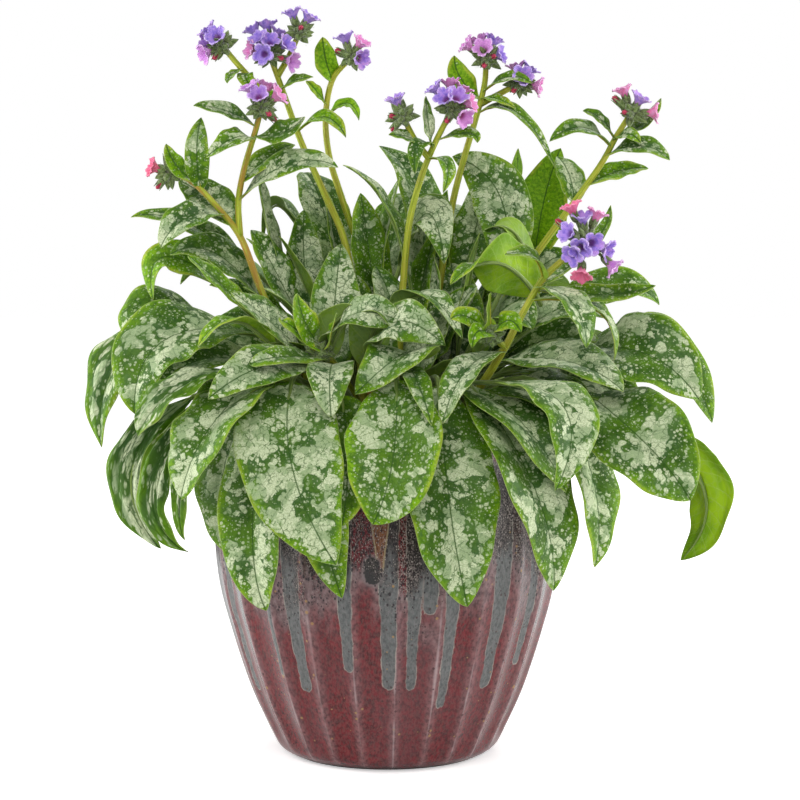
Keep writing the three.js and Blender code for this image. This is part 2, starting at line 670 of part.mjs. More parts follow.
function potSolid() {
  const turned = turnedGeometry(outsideProfile, OUTSIDE_FACETS);
  const points = turned.getAttribute("position");
  for (let i = 0; i < points.count; i++) {
    const radius = Math.hypot(points.getX(i), points.getY(i));
    if (radius < 1) continue;
    const angle = THREE.MathUtils.radToDeg(Math.atan2(points.getX(i), -points.getY(i)));
    const share = 1 - fluteDepth(points.getZ(i), angle) / radius;
    points.setXY(i, points.getX(i) * share, points.getY(i) * share);
  }
  let solid = toSolid(turned).subtract(toSolid(turnedGeometry(insideProfile, INSIDE_FACETS)));
  for (let i = 0; i < DRAIN_COUNT; i++) {
    const turn = (2 * Math.PI * (i + 0.5)) / DRAIN_COUNT;
    const drain = new THREE.CylinderGeometry(DRAIN_RADIUS, DRAIN_RADIUS, 3 * POT_FLOOR, 12);
    drain.rotateX(Math.PI / 2);
    drain.translate(DRAIN_CIRCLE * Math.cos(turn), DRAIN_CIRCLE * Math.sin(turn), 0);
    solid = solid.subtract(toSolid(drain));
  }
  return solid.asOriginal().simplify(JOIN_TOLERANCE);
}

addPiece("pot", toGeometry(potSolid()), FINISH.glaze);

// Feet of everything that stands in the soil, with the radius of each
const feet = [];
const FOOT_DROP = HOLE_DEPTH - CLEARANCE;

// Skirt leaves stand on a ring, each in the direction of its blade's base
function skirtFoot({ ring, base }) {
  const turn = Math.atan2(base[1], base[0]);
  return new THREE.Vector3(SKIRT_RINGS[ring] * Math.cos(turn), SKIRT_RINGS[ring] * Math.sin(turn), SOIL_TOP);
}

function backLeaves() {
  const leaves = [];
  for (let i = 0; i < BACK_COUNT; i++) {
    const turn = THREE.MathUtils.degToRad(
      THREE.MathUtils.lerp(BACK_TURN_FIRST, BACK_TURN_LAST, i / (BACK_COUNT - 1)),
    );
    const form = i % 2 ? BACK_LOW : BACK_HIGH;
    const place = (k) => [form.reach[k] * Math.cos(turn), form.reach[k] * Math.sin(turn), form.height[k]];
    const row = { ring: i % 2, base: place(0), middle: place(1), tip: place(2), width: form.width, roll: 0 };
    leaves.push({ name: `leaf_back_${i + 1}`, ...row });
  }
  return leaves;
}

for (const leaf of [...SKIRT_LEAVES, ...backLeaves()]) {
  const foot = skirtFoot(leaf);
  feet.push({ x: foot.x, y: foot.y, radius: PETIOLE_RADIUS * 1.12 });
  addPiece(leaf.name, leafGeometry(leaf, foot, LARGE_STATIONS, FOOT_DROP), FINISH.leaf);
}

// Rosettes: a short shoot, half of it in the soil, and the petioles that spring from it
for (const rosette of ROSETTES) {
  const [x, y] = rosette.foot;
  const shoot = new THREE.CylinderGeometry(SHOOT_RADIUS * 0.8, SHOOT_RADIUS, 2 * FOOT_DROP, 8);
  shoot.rotateX(Math.PI / 2);
  shoot.translate(x, y, SOIL_TOP);
  feet.push({ x, y, radius: SHOOT_RADIUS });
  const solids = [toSolid(shoot)];
  for (const leaf of rosette.leaves) {
    const out = new THREE.Vector3(leaf.base[0] - x, leaf.base[1] - y, 0).setLength(SHOOT_RADIUS * 0.4);
    const foot = new THREE.Vector3(x + out.x, y + out.y, SOIL_TOP + FOOT_DROP / 2);
    solids.push(toSolid(leafGeometry(leaf, foot, SMALL_STATIONS)));
  }
  addPiece(rosette.name, toGeometry(joinAll(solids)), FINISH.leaf);
}

// Directions of a flower: along it, from the middle of its head, and two across it
function flowerFrame(offset) {
  const axis = toVector(offset);
  const length = axis.length();
  axis.normalize();
  const side = new THREE.Vector3(0, 0, 1).addScaledVector(axis, -axis.z);
  if (side.lengthSq() < 0.01) side.set(1, 0, 0).addScaledVector(axis, -axis.x);
  side.normalize();
  return { axis, length, side, up: new THREE.Vector3().crossVectors(axis, side) };
}

// Points round a flower's axis
function flowerRing(frame, centre, distance, radius, count = 5, turn = 0) {
  return Array.from({ length: count }, (_, k) => {
    const angle = ((k + turn) * 2 * Math.PI) / count;
    return centre
      .clone()
      .addScaledVector(frame.axis, distance)
      .addScaledVector(frame.side, radius * Math.cos(angle))
      .addScaledVector(frame.up, radius * Math.sin(angle));
  });
}

// An open flower: pedicel, calyx, and a corolla that flares into five lobes round an open throat
function flowerGeometry(centre, offset) {
  const frame = flowerFrame(offset);
  const rim = frame.length;
  const rings = [
    flowerRing(frame, centre, 1, PEDICEL_RADIUS),
    flowerRing(frame, centre, rim - CALYX_DEPTH, CALYX_RADIUS),
    flowerRing(frame, centre, rim - 1, NOTCH_RADIUS),
    flowerRing(frame, centre, rim, LOBE_RADIUS, 5, 0.5),
  ];
  const well = centre.clone().addScaledVector(frame.axis, rim - THROAT_DEPTH);
  const points = [...rings.flat(), well];
  const middle = points.length - 1;
  const indices = [0, 2, 1, 0, 3, 2, 0, 4, 3];
  for (let k = 0; k < 5; k++) {
    const next = (k + 1) % 5;
    indices.push(k, next, 5 + next, k, 5 + next, 5 + k);
    const [calyxA, calyxB, notchA, notchB, lobe] = [5 + k, 5 + next, 10 + k, 10 + next, 15 + k];
    indices.push(calyxA, calyxB, lobe, calyxA, lobe, notchA, calyxB, notchB, lobe);
    indices.push(middle, notchA, lobe, middle, lobe, notchB);
  }
  return indexedGeometry(points, indices);
}

// A closed bud in its calyx
function budGeometry(centre, offset) {
  const frame = flowerFrame(offset);
  const shoulder = frame.length - BUD_DEPTH;
  const profile = [[1, PEDICEL_RADIUS], [shoulder, CALYX_RADIUS], [frame.length, BUD_TIP_RADIUS]];
  return loft(profile.map(([distance, radius]) => flowerRing(frame, centre, distance, radius, 4)));
}

// A stem's way as a smooth curve. The first stands upright at the soil, and a head ends its way.
function stemCurve(points, index, head) {
  const knots = points.slice(index === 0 ? 1 : 0).map(toVector);
  if (index === 0) {
    const [x, y] = points[0];
    knots.unshift(new THREE.Vector3(x, y, SOIL_TOP), new THREE.Vector3(x, y, SOIL_TOP + HOLE_DEPTH));
  }
  if (head) {
    const middle = toVector(head.at);
    const back = knots[knots.length - 1].clone().sub(middle).setLength(CORE_RADIUS + CLEARANCE);
    knots.push(middle.add(back));
  }
  return new THREE.CatmullRomCurve3(knots);
}

// The place on a stem's way at a height, on the straight lengths its bar is made of
function placeAtHeight(way, steps, height) {
  const points = way.getSpacedPoints(steps);
  for (let i = 0; i < steps; i++) {
    const [low, high] = [points[i], points[i + 1]];
    if (height <= high.z) return low.clone().lerp(high, (height - low.z) / (high.z - low.z));
  }
  return points[steps].clone();
}

// Leafy flower stems, and the flower heads at their ends
for (const stem of STEMS) {
  const barSteps = (way) => (way === 0 ? STEM_STEPS : BRANCH_STEPS);
  const headOf = (way) => stem.heads.find((head) => head.way === way);
  const ways = stem.ways.map((points, i) => stemCurve(points, i, headOf(i)));
  const [footX, footY] = stem.ways[0][0];
  feet.push({ x: footX, y: footY, radius: STEM_RADIUS });
  const solids = ways.map((way, i) => {
    const start = i === 0 ? STEM_RADIUS : STEM_RADIUS * BRANCH_SHARE;
    const drop = i === 0 ? FOOT_DROP : 0;
    return toSolid(taperedBar(way, barSteps(i), start, STEM_RADIUS * STEM_TOP_SHARE, drop));
  });
  for (const leaf of stem.leaves) {
    const base = placeAtHeight(ways[leaf.way], barSteps(leaf.way), leaf.at).toArray();
    solids.push(toSolid(leafGeometry({ ...leaf, base }, null, BRACT_STATIONS)));
  }
  for (const offset of stem.tipBuds ?? []) {
    solids.push(toSolid(budGeometry(ways[ways.length - 1].getPoint(0.9), offset)));
  }
  addPiece(stem.name, toGeometry(joinAll(solids)), FINISH.stem);
  for (const head of stem.heads) {
    const centre = toVector(head.at);
    const core = new THREE.IcosahedronGeometry(CORE_RADIUS).translate(...head.at);
    const flowers = [toSolid(core)];
    for (const offset of head.corollas) flowers.push(toSolid(flowerGeometry(centre, offset)));
    for (const offset of head.buds) flowers.push(toSolid(budGeometry(centre, offset)));
    addPiece(head.name, toGeometry(joinAll(flowers)), FINISH[head.colour]);
  }
}

// Soil: fills the pot, with a plain hole round every foot
const soilProfile = [
  [0, POT_FLOOR + CLEARANCE],
  [floorRadius - 1, POT_FLOOR + CLEARANCE],
  ...insideHeights.map((z) => [innerRadius(z) - CLEARANCE, z]),
  [0, SOIL_TOP],
];
let soil = toSolid(turnedGeometry(soilProfile, INSIDE_FACETS));
for (const { x, y, radius } of feet) {
  const across = (radius + CLEARANCE) / Math.cos(Math.PI / HOLE_SIDES);
  const hole = new THREE.CylinderGeometry(across, across, 2 * HOLE_DEPTH, HOLE_SIDES);
  hole.rotateX(Math.PI / 2);
  hole.translate(x, y, SOIL_TOP);
  soil = soil.subtract(toSolid(hole));
}
addPiece("soil", toGeometry(soil.asOriginal().simplify(JOIN_TOLERANCE)), FINISH.soil);

export default part;
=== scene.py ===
import math

import bpy
import numpy as np
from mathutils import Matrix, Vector


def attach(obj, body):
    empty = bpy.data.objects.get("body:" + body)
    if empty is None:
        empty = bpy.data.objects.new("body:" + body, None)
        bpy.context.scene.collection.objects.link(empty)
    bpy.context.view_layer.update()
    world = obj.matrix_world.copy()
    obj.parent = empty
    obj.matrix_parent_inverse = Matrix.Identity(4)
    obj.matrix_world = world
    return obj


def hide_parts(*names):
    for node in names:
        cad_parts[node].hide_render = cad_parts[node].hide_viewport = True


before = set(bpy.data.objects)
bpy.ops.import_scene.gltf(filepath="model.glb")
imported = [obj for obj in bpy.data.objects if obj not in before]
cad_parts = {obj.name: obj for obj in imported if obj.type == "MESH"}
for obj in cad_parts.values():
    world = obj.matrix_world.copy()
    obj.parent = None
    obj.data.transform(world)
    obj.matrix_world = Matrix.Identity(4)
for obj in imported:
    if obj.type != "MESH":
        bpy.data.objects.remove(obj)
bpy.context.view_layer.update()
MM = 0.001
TURN = 2 * math.pi
scene = bpy.context.scene
scene.view_settings.view_transform = "Standard"

# The view: a camera a little above the middle of the plant, 1.6 m in front of the pot, with the
# narrow angle of a product photograph.


def stand(thing, place, aim):
    """Puts the camera or a lamp at a place, turned to its aim."""
    thing.location = place
    thing.rotation_euler = (Vector(aim) - Vector(place)).to_track_quat("-Z", "Y").to_euler()
    scene.collection.objects.link(thing)


camera_data = bpy.data.cameras.new("camera")
camera_data.sensor_width = 36.0
camera_data.lens = 110.46
camera = bpy.data.objects.new("camera", camera_data)
stand(camera, (0.0083, -1.6, 0.36), (0.0083, 0.0, 0.231))
scene.camera = camera

# Studio: a white table and white surroundings, a large soft light over the plant from the front left and
# a weaker one before it, a tall one on each side that draws the bright lines on the ridges of the pot,
# and one behind that lights the edges of the leaves.
FLOOR_HALF = 6.0
FLOOR_GLOW_NEAR = 0.40
FLOOR_GLOW_FAR = 0.75
SURROUND_LIGHT = 0.34
SOFT_LIGHTS = {  # place, height of its aim, width, height and power
    "key_light": ((-0.5, -1.4, 1.9), 0.25, 1.6, 1.4, 23),
    "fill_light": ((0.2, -2.1, 0.75), 0.25, 1.4, 0.9, 11),
    "left_light": ((-1.4, 0.12, 0.45), 0.15, 0.34, 1.3, 19),
    "right_light": ((1.4, 0.08, 0.45), 0.15, 0.34, 1.3, 19),
    "back_light": ((0.5, 1.4, 1.5), 0.35, 1.0, 0.8, 12),
}


class Signal:
    """A number, colour or direction that changes over a surface: an output of a shader node. Sums,
    differences and products of signals and plain numbers become Math nodes beside it."""

    def __init__(self, socket):
        self.socket = socket
        self.tree = socket.id_data

    def beside(self, output):
        """Another output of the same node."""
        return Signal(self.socket.node.outputs[output])

    def __mul__(self, other):
        return calculate("MULTIPLY", self, other)

    def __add__(self, other):
        return calculate("ADD", self, other)

    def __sub__(self, other):
        return calculate("SUBTRACT", self, other)

    def __rsub__(self, other):
        return calculate("SUBTRACT", other, self)


def dress(node, **inputs):
    """Fills a node's inputs with plain values, and links signals to them. The key at_1 names the second
    input by its place."""
    for key, value in inputs.items():
        socket = node.inputs[int(key[3:]) if key.startswith("at_") else key.replace("_", " ")]
        if isinstance(value, Signal):
            node.id_data.links.new(value.socket, socket)
        else:
            socket.default_value = value


def read(tree, kind, output, settings=None, **inputs):
    """An output of a new shader node."""
    node = tree.nodes.new("ShaderNode" + kind)
    for key, value in (settings or {}).items():
        setattr(node, key, value)
    dress(node, **inputs)
    return Signal(node.outputs[output])


def calculate(operation, a, b=0.0, clamp=False):
    """One arithmetic step on signals and plain numbers."""
    tree = (a if isinstance(a, Signal) else b).tree
    return read(tree, "Math", 0, {"operation": operation, "use_clamp": clamp}, at_0=a, at_1=b)


def step(value, low, high, start=0.0, end=1.0):
    """A smooth step from start to end as the value goes from low to high."""
    return read(
        value.tree, "MapRange", "Result", {"interpolation_type": "SMOOTHSTEP"},
        Value=value, From_Min=low, From_Max=high, To_Min=start, To_Max=end,
    )


def new_material(name, **finish):
    """A material with one Principled shader, whose inputs the finish fills."""
    material = bpy.data.materials.new(name)
    material.use_nodes = True
    shader = material.node_tree.nodes["Principled BSDF"]
    dress(shader, **finish)
    return material, material.node_tree, shader


white_table, tree, shader = new_material(
    "white_table", Roughness=0.9, Specular_IOR_Level=0.0,
    Base_Color=(0.92, 0.92, 0.92, 1), Emission_Color=(1, 1, 1, 1),
)
seen = read(tree, "LightPath", "Is Camera Ray")
table_place = read(tree, "TexCoord", "Object")
from_middle = read(tree, "VectorMath", "Value", {"operation": "LENGTH"}, at_0=table_place)
dress(shader, Emission_Strength=seen * step(from_middle, 0.25, 1.6, FLOOR_GLOW_NEAR, FLOOR_GLOW_FAR))
floor_mesh = bpy.data.meshes.new("studio_floor")
floor_corners = [(x * FLOOR_HALF, y * FLOOR_HALF, 0) for x, y in ((-1, -1), (1, -1), (1, 1), (-1, 1))]
floor_mesh.from_pydata(floor_corners, [], [(0, 1, 2, 3)])
floor_mesh.materials.append(white_table)
floor = bpy.data.objects.new("studio_floor", floor_mesh)
scene.collection.objects.link(floor)

# The surroundings are white to the eye, and light the plant less than that, so that it keeps its depth
surroundings = bpy.data.worlds.new("white_surroundings")
surroundings.use_nodes = True
seen = read(surroundings.node_tree, "LightPath", "Is Camera Ray")
background = surroundings.node_tree.nodes["Background"]
dress(background, Color=(1, 1, 1, 1), Strength=step(seen, 0.0, 1.0, SURROUND_LIGHT, 1.0))
scene.world = surroundings

for name, (place, aim_height, width, height, power) in SOFT_LIGHTS.items():
    lamp = bpy.data.lights.new(name, "AREA")
    lamp.shape = "RECTANGLE"
    lamp.size, lamp.size_y, lamp.energy = width, height, power
    stand(bpy.data.objects.new(name, lamp), place, (0, 0, aim_height))

# Pot: thrown stoneware with twenty-four upright flutes, a rolled lip and three drain holes, dipped in a
# crimson glaze over which a grey-blue one has run down. The foot ring is left bare.
POT_HEIGHT = 229
POT_WALL = 8
POT_FLOOR = 12
FLUTE_COUNT = 24
FLUTE_DEPTH = 2.4
FLUTE_TURN = 3
COLUMNS_PER_FLUTE = 20
RIDGE_ROUNDING = 0.22
OUTLINE_ROWS = 86
SOIL_TOP = 205
DRAIN_COUNT = 3
DRAIN_RADIUS = 6
DRAIN_CIRCLE = 34
# Radius and height, from the middle of the underside up the outside, over the lip and down to the floor
POT_UNDERSIDE = [[2, 1.2], [30, 1.2], [49, 1.2], [51, 0.9], [52, 0], [57, 0]]
POT_OUTLINE = np.array(
    [[62, 0], [72, 6], [80, 21], [91, 46], [103, 83], [111, 116], [113.5, 155], [112, 212]]
)
POT_LIP = [
    [111.8, 217], [111.3, 221.5], [110.6, 225], [109.8, 227.3], [108.6, 228.7], [107.0, 229],
    [105.2, 228.4], [104.0, 227], [103.5, 225], [103.6, 219],
]
LIP_ROWS_OUTSIDE = 4
POT_INSIDE = [[50, POT_FLOOR], [28, POT_FLOOR], [2, POT_FLOOR]]
HOLLOW_ROUNDING = [1.5, 5, 9, 14]


def full_turn(count):
    """Even angles all round."""
    return np.linspace(0, TURN, count, endpoint=False)


def layers(shape, *values):
    """Arrays and numbers spread over one grid and laid side by side along a last axis."""
    return np.stack([np.broadcast_to(value, shape) for value in values], -1)


def hermite(start, end, slope_start, slope_end, t):
    """The cubic from start to end with the slopes given there, at the shares t."""
    cubic = 2 * start - 2 * end + slope_start + slope_end
    square = -3 * start + 3 * end - 2 * slope_start - slope_end
    return ((cubic * t + square) * t + slope_start) * t + start


def smooth_line(knots, count):
    """An even Catmull-Rom line through the knots, its slope at a knot half the way between the knots
    beside it, sampled at a number of places."""
    padded = np.vstack([knots[:1], knots, knots[-1:]])
    place = np.linspace(0, len(knots) - 1, count)
    knot = np.minimum(place.astype(int), len(knots) - 2)
    before, start, end, after = (padded[knot + k] for k in range(4))
    return hermite(start, end, (end - before) / 2, (after - start) / 2, (place - knot)[:, None])


def smooth_step(value, low, high):
    """0 below low, 1 above high, and 3t²−2t³ between."""
    t = np.clip((value - low) / (high - low), 0, 1)
    return t * t * (3 - 2 * t)


def turned_rings(radius, height, turn):
    """Rings round the pot's middle line, from a radius and a height for each, the angle counted from
    the front."""
    return layers((len(radius), len(turn)), radius * np.sin(turn), -radius * np.cos(turn), height)


def skin(rings):
    """Faces over closed rings carried along a path: two neighbours in a ring and the same two in the
    next one make a four-sided face, and each end is closed by its ring. Turned to point outwards."""
    count, around = rings.shape[:2]
    points = rings.reshape(-1, 3)
    index = np.arange(count * around).reshape(count, around)
    near, far = index[:-1], index[1:]
    quads = np.stack([near, np.roll(near, -1, 1), np.roll(far, -1, 1), far], -1).reshape(-1, 4)
    ends = index[0][::-1], index[-1]
    fans = [np.stack([np.full(around - 2, ring[0]), ring[1:-1], ring[2:]], -1) for ring in ends]
    corner = points[np.vstack([quads[:, [0, 1, 2]], quads[:, [0, 2, 3]], *fans])] - points.mean(0)
    volume = np.einsum("ij,ij->", corner[:, 0], np.cross(corner[:, 1], corner[:, 2]))
    faces = [*quads.tolist(), *(ring.tolist() for ring in ends)]
    return points, faces if volume > 0 else [face[::-1] for face in faces]


def mesh_object(name, points, faces, materials=()):
    """A smooth-shaded mesh at the origin, from points in millimetres."""
    mesh = bpy.data.meshes.new(name)
    mesh.from_pydata((points * MM).tolist(), [], faces)
    for material in materials:
        mesh.materials.append(material)
    mesh.polygons.foreach_set("use_smooth", np.ones(len(mesh.polygons), bool))
    piece = bpy.data.objects.new(name, mesh)
    scene.collection.objects.link(piece)
    return piece


outside = smooth_line(POT_OUTLINE, OUTLINE_ROWS)
inside_height = np.array([*np.linspace(SOIL_TOP + 6, 34, 14), 26, 19, 14.5, 12.4])
inside_radius = np.interp(inside_height, *outside.T[::-1]) - POT_WALL
inside_radius[-4:] -= HOLLOW_ROUNDING
inside = np.stack([inside_radius, inside_height], -1)
profile = np.vstack([POT_UNDERSIDE, outside, POT_LIP, inside, POT_INSIDE])
radius, height = profile[:, :1], profile[:, 1:]
row = np.arange(len(profile))[:, None] - len(POT_UNDERSIDE)
fluted = (row >= 0) & (row < OUTLINE_ROWS + LIP_ROWS_OUTSIDE)
turn = full_turn(FLUTE_COUNT * COLUMNS_PER_FLUTE)
phase = np.mod((np.degrees(turn) - FLUTE_TURN) * FLUTE_COUNT / 360, 1)
flute_fade = smooth_step(height, 4, 24) * (1 - smooth_step(height, 205, 225)) * fluted
hollow = np.hypot(4 * phase * (1 - phase), RIDGE_ROUNDING) - RIDGE_ROUNDING
hollow /= math.hypot(1, RIDGE_ROUNDING) - RIDGE_ROUNDING
uneven = 0.35 * smooth_step(height, 10, 90) * (1 - smooth_step(height, 190, POT_HEIGHT))
pot_radius = radius - FLUTE_DEPTH * flute_fade * hollow + uneven * np.sin(turn * 2 + 0.6)
pot_points, pot_faces = skin(turned_rings(pot_radius, height, turn))


# The glaze. Effects that several materials share are node groups with a place and numbers as inputs.
def effect_group(name, output, **inputs):
    """A node group for a shared effect: its tree, its inputs as signals, and its output node."""
    group = bpy.data.node_groups.new(name, "ShaderNodeTree")
    group.interface.new_socket("Place", in_out="INPUT", socket_type="NodeSocketVector")
    for label, start in inputs.items():
        socket = group.interface.new_socket(label, in_out="INPUT", socket_type="NodeSocketFloat")
        socket.default_value = start
    kind = "NodeSocketVector" if output == "Normal" else "NodeSocketFloat"
    group.interface.new_socket(output, in_out="OUTPUT", socket_type=kind)
    ways_in = group.nodes.new("NodeGroupInput").outputs
    signals = [Signal(ways_in[label]) for label in ("Place", *inputs)]
    return group, signals, group.nodes.new("NodeGroupOutput")


def effect(group, place, **inputs):
    """One use of a shared effect in a material."""
    return read(place.tree, "Group", 0, {"node_tree": group}, Place=place, **inputs)


def noise(place, scale, detail, roughness):
    """Fractal noise, 0 to 1."""
    return read(
        place.tree, "TexNoise", "Fac", Vector=place, Scale=scale, Detail=detail, Roughness=roughness
    )


def mix(share, first, second):
    """The second colour laid over the first by a share."""
    first, second = (c if isinstance(c, Signal) else (*c, 1) for c in (first, second))
    settings = {"data_type": "RGBA", "clamp_factor": True}
    return read(share.tree, "Mix", 2, settings, at_0=share, at_6=first, at_7=second)


def attribute(tree, name, output):
    """What a piece keeps on its points."""
    return read(tree, "Attribute", output, {"attribute_name": name})


# Mottling, shared by glaze, soil, leaves and petals: cloudy noise stretched to run fully from 0 to 1
mottling, (place, scale, fineness, contrast), result = effect_group(
    "mottling", "Value", Scale=1.0, Fineness=3.0, Contrast=0.5
)
low = contrast * 0.3 + 0.2
dress(result, Value=step(noise(place, scale, fineness, 0.6), low, 1.0 - low))

# Spots, shared by the silver of the leaves and the pits and specks of the glaze: round spots, one to a
# cell, some left out, their edges soft. The size is a share of the cell, and large ones run together.
spotting, (place, scale, size, kept, softness), result = effect_group(
    "spotting", "Mask", Scale=1.0, Size=0.3, Kept=0.5, Softness=0.05
)
distance = read(spotting, "TexVoronoi", "Distance", Vector=place, Scale=scale)
chance = read(spotting, "SeparateColor", "Red", Color=distance.beside("Color"))
room = size * step(chance.beside("Green"), 0.0, 1.0, 0.65, 1.25) - distance
dress(result, Mask=step(room, softness * -1.0, softness) * calculate("LESS_THAN", chance, kept))

glaze, tree, shader = new_material("run_glaze", IOR=1.5, Specular_IOR_Level=0.22, Coat_Roughness=0.06)
place = read(tree, "TexCoord", "Object")
x = read(tree, "SeparateXYZ", "X", Vector=place)
up_mm = x.beside("Z") * 1000
flute = calculate("ARCTAN2", x, x.beside("Y") * -1) * (FLUTE_COUNT / TURN)
flute = flute + FLUTE_COUNT * (4 - FLUTE_TURN / 360)
ridge_gap = calculate("ABSOLUTE", calculate("FRACT", flute) - 0.5)
tall = read(tree, "Mapping", "Vector", Vector=place, Scale=(1, 1, 0.4))
speckled = read(tree, "Mapping", "Vector", Vector=place, Scale=(1, 1, 0.7))
wander = noise(tall, 60, 3, 0.6)
ridge_noisy = ridge_gap + wander * 0.16
ridge = step(ridge_noisy, 0.535, 0.60)
ridge_wide = step(ridge_noisy, 0.34, 0.55)
run_wander = noise(tall, 130, 4, 0.65)
run_noisy = attribute(tree, "run_depth", "Fac") + (run_wander - 0.5) * 4.4
run = step(run_noisy, -0.25, 0.35)
run_edge = step(run_noisy, -0.45, 0.0) * step(run_noisy, 0.0, 0.5, 1.0, 0.0)
drip_noisy = attribute(tree, "drip_depth", "Fac") + (run_wander - 0.5) * 1.6
crater_noisy = attribute(tree, "crater_depth", "Fac") + (run_wander - 0.48) * 5.0
grain = effect(mottling, tall, Scale=900.0, Fineness=2.0, Contrast=0.75)
mottle = effect(mottling, speckled, Scale=430.0, Fineness=5.0, Contrast=0.35)
cloud = effect(mottling, tall, Scale=70.0, Fineness=4.0, Contrast=0.5)
bands = effect(mottling, tall, Scale=28.0, Fineness=3.0, Contrast=0.6)
frost = effect(mottling, speckled, Scale=1300.0, Fineness=2.0, Contrast=0.85)
high_mm = up_mm + bands * 20 + cloud * 22
upper = step(high_mm, 112, 150)
top = step(high_mm, 142, 164)
# Body: crimson in the hollows, mauve where it is thin over the ridges, greyer and then plum to the rim
body = mix(mottle, (0.038, 0.001, 0.003), (0.172, 0.007, 0.012))
body = mix(grain * 0.26, body, (0.17, 0.080, 0.070))
body = mix(bands * 0.32, body, (0.125, 0.055, 0.060))
body = mix(ridge_wide * 0.32, body, mix(mottle, (0.13, 0.075, 0.080), (0.34, 0.235, 0.235)))
body = mix(ridge * step(bands, 0.25, 0.8, 0.20, 0.60), body, (0.42, 0.33, 0.33))
body = mix(upper * 0.82, body, mix(mottle, (0.085, 0.052, 0.055), (0.235, 0.175, 0.175)))
plum = mix(grain, (0.004, 0.0015, 0.0015), (0.038, 0.017, 0.015))
blood = mix(grain, (0.018, 0.001, 0.002), (0.120, 0.003, 0.009))
body = mix(top, body, mix(step(bands, 0.42, 0.56), plum, blood))
# Runs: slate grey, paler along their edges
slate = mix(mottle, (0.055, 0.060, 0.060), (0.115, 0.122, 0.120))
slate = mix(grain * 0.3, slate, (0.19, 0.17, 0.17))
body = mix(run, body, mix(top * 0.94, slate, (0.012, 0.008, 0.008)))
body = mix(run_edge * step(run_wander, 0.35, 0.65, 0.15, 0.75), body, (0.36, 0.33, 0.28))
# One brown drip from the lip with an ochre edge, and the black crater of a burst bubble at its end
body = mix(step(drip_noisy, -0.9, -0.3), body, (0.25, 0.19, 0.10))
drip_brown = mix(grain, (0.085, 0.026, 0.009), (0.175, 0.062, 0.020))
body = mix(step(drip_noisy, 0.1, 0.6), body, drip_brown)
body = mix(step(crater_noisy, -2.2, 0.2, 0.0, 0.55), body, (0.16, 0.14, 0.14))
crater = step(crater_noisy, 0.2, 1.0)
body = mix(crater, body, (0.012, 0.011, 0.010))
# Specks: a frost of fine pale grains near the rim, black pits above, silver crystals round them, and
# ochre and dark ones all over
frosted = step(frost, 0.64, 0.95) * (top * step(cloud, 0.25, 0.75, 0.22, 0.62))
body = mix(frosted, body, (0.25, 0.205, 0.190))
pits = effect(spotting, speckled, Scale=560.0, Size=upper * 0.40, Kept=0.45, Softness=0.06)
body = mix(pits * 0.9, body, (0.012, 0.008, 0.010))
glints = effect(spotting, speckled, Scale=1000.0, Size=(upper + top) * 0.15, Kept=0.5, Softness=0.12)
body = mix(glints * 0.80, body, (0.37, 0.32, 0.29))
ochre = effect(
    spotting, place, Scale=260.0, Size=ridge_wide * 0.16 + 0.12, Kept=0.12, Softness=0.05
)
body = mix(ochre * 0.8, body, (0.32, 0.19, 0.07))
dark_pits = effect(spotting, place, Scale=380.0, Size=0.26, Kept=0.16, Softness=0.06)
body = mix(dark_pits * 0.7, body, (0.035, 0.012, 0.012))
# Bare clay shows in a thin line at the foot, and the glaze breaks orange-brown over the lip
body = mix(step(up_mm + wander * 5, 226, 230), body, (0.20, 0.075, 0.025))
foot_line = step(up_mm + wander * 2.0, 2.6, 1.4)
body = mix(foot_line, body, (0.03, 0.018, 0.014))
relief = run * 0.5 + wander * 0.8 - pits * 0.25 + mottle * 0.12 - crater * 1.6
relief = relief + step(drip_noisy, -0.9, 0.6) * 0.5
dress(
    shader,
    Base_Color=body,
    Roughness=step(mottle, 0.0, 1.0, 0.12, 0.24) + foot_line * 0.4 + top * 0.26,
    Coat_Weight=step(top, 0.0, 1.0, 0.34, 0.02),
    Normal=read(tree, "Bump", "Normal", Height=relief, Strength=0.3, Distance=0.0006),
)

pot = mesh_object("fluted_pot", pot_points, pot_faces, [glaze])
drain_turn = full_turn(24)
cutters = []
for k in range(DRAIN_COUNT):
    middle = TURN * (k + 0.5) / DRAIN_COUNT
    drain_x = DRAIN_CIRCLE * math.cos(middle) + DRAIN_RADIUS * np.cos(drain_turn)
    drain_y = DRAIN_CIRCLE * math.sin(middle) + DRAIN_RADIUS * np.sin(drain_turn)
    rings = [layers((24,), drain_x, drain_y, level) for level in (-5, 20)]
    cutters.append(mesh_object(f"drain_{k}", *skin(np.stack(rings))))
    cut = pot.modifiers.new(f"drain_{k}", "BOOLEAN")
    cut.object, cut.operation, cut.solver = cutters[-1], "DIFFERENCE", "EXACT"
bpy.context.view_layer.update()
drilled = bpy.data.meshes.new_from_object(pot.evaluated_get(bpy.context.evaluated_depsgraph_get()))
pot.modifiers.clear()
pot.data = drilled
for cutter in cutters:
    bpy.data.objects.remove(cutter)

# Runs of the grey-blue glaze: angle from the front, half width in degrees and lower end of each
GLAZE_RUNS = [
    (-43, 1.3, 62), (-33, 2.9, 53), (-13.6, 2.2, 69), (0.7, 2.7, 58), (9.0, 2.2, 57), (14.2, 2.1, 107),
    (22, 2.4, 44), (41, 2.9, 54), (58, 2.0, 66), (-60, 2.2, 74),
]
run_random = np.random.default_rng(11)
GLAZE_RUNS += [
    (angle + run_random.uniform(-3, 3), run_random.uniform(1.6, 3.0), run_random.uniform(44, 112))
    for angle in range(70, 300, 13)
]
RUN_RADIUS = 108
DRIP_ANGLE, DRIP_HALF, DRIP_LOW, DRIP_HIGH = -2.0, 6.2, 134, 240
CRATER_ANGLE, CRATER_HALF, CRATER_LOW, CRATER_HIGH = -4.7, 5.2, 129, 141
NOT_GLAZED = -9

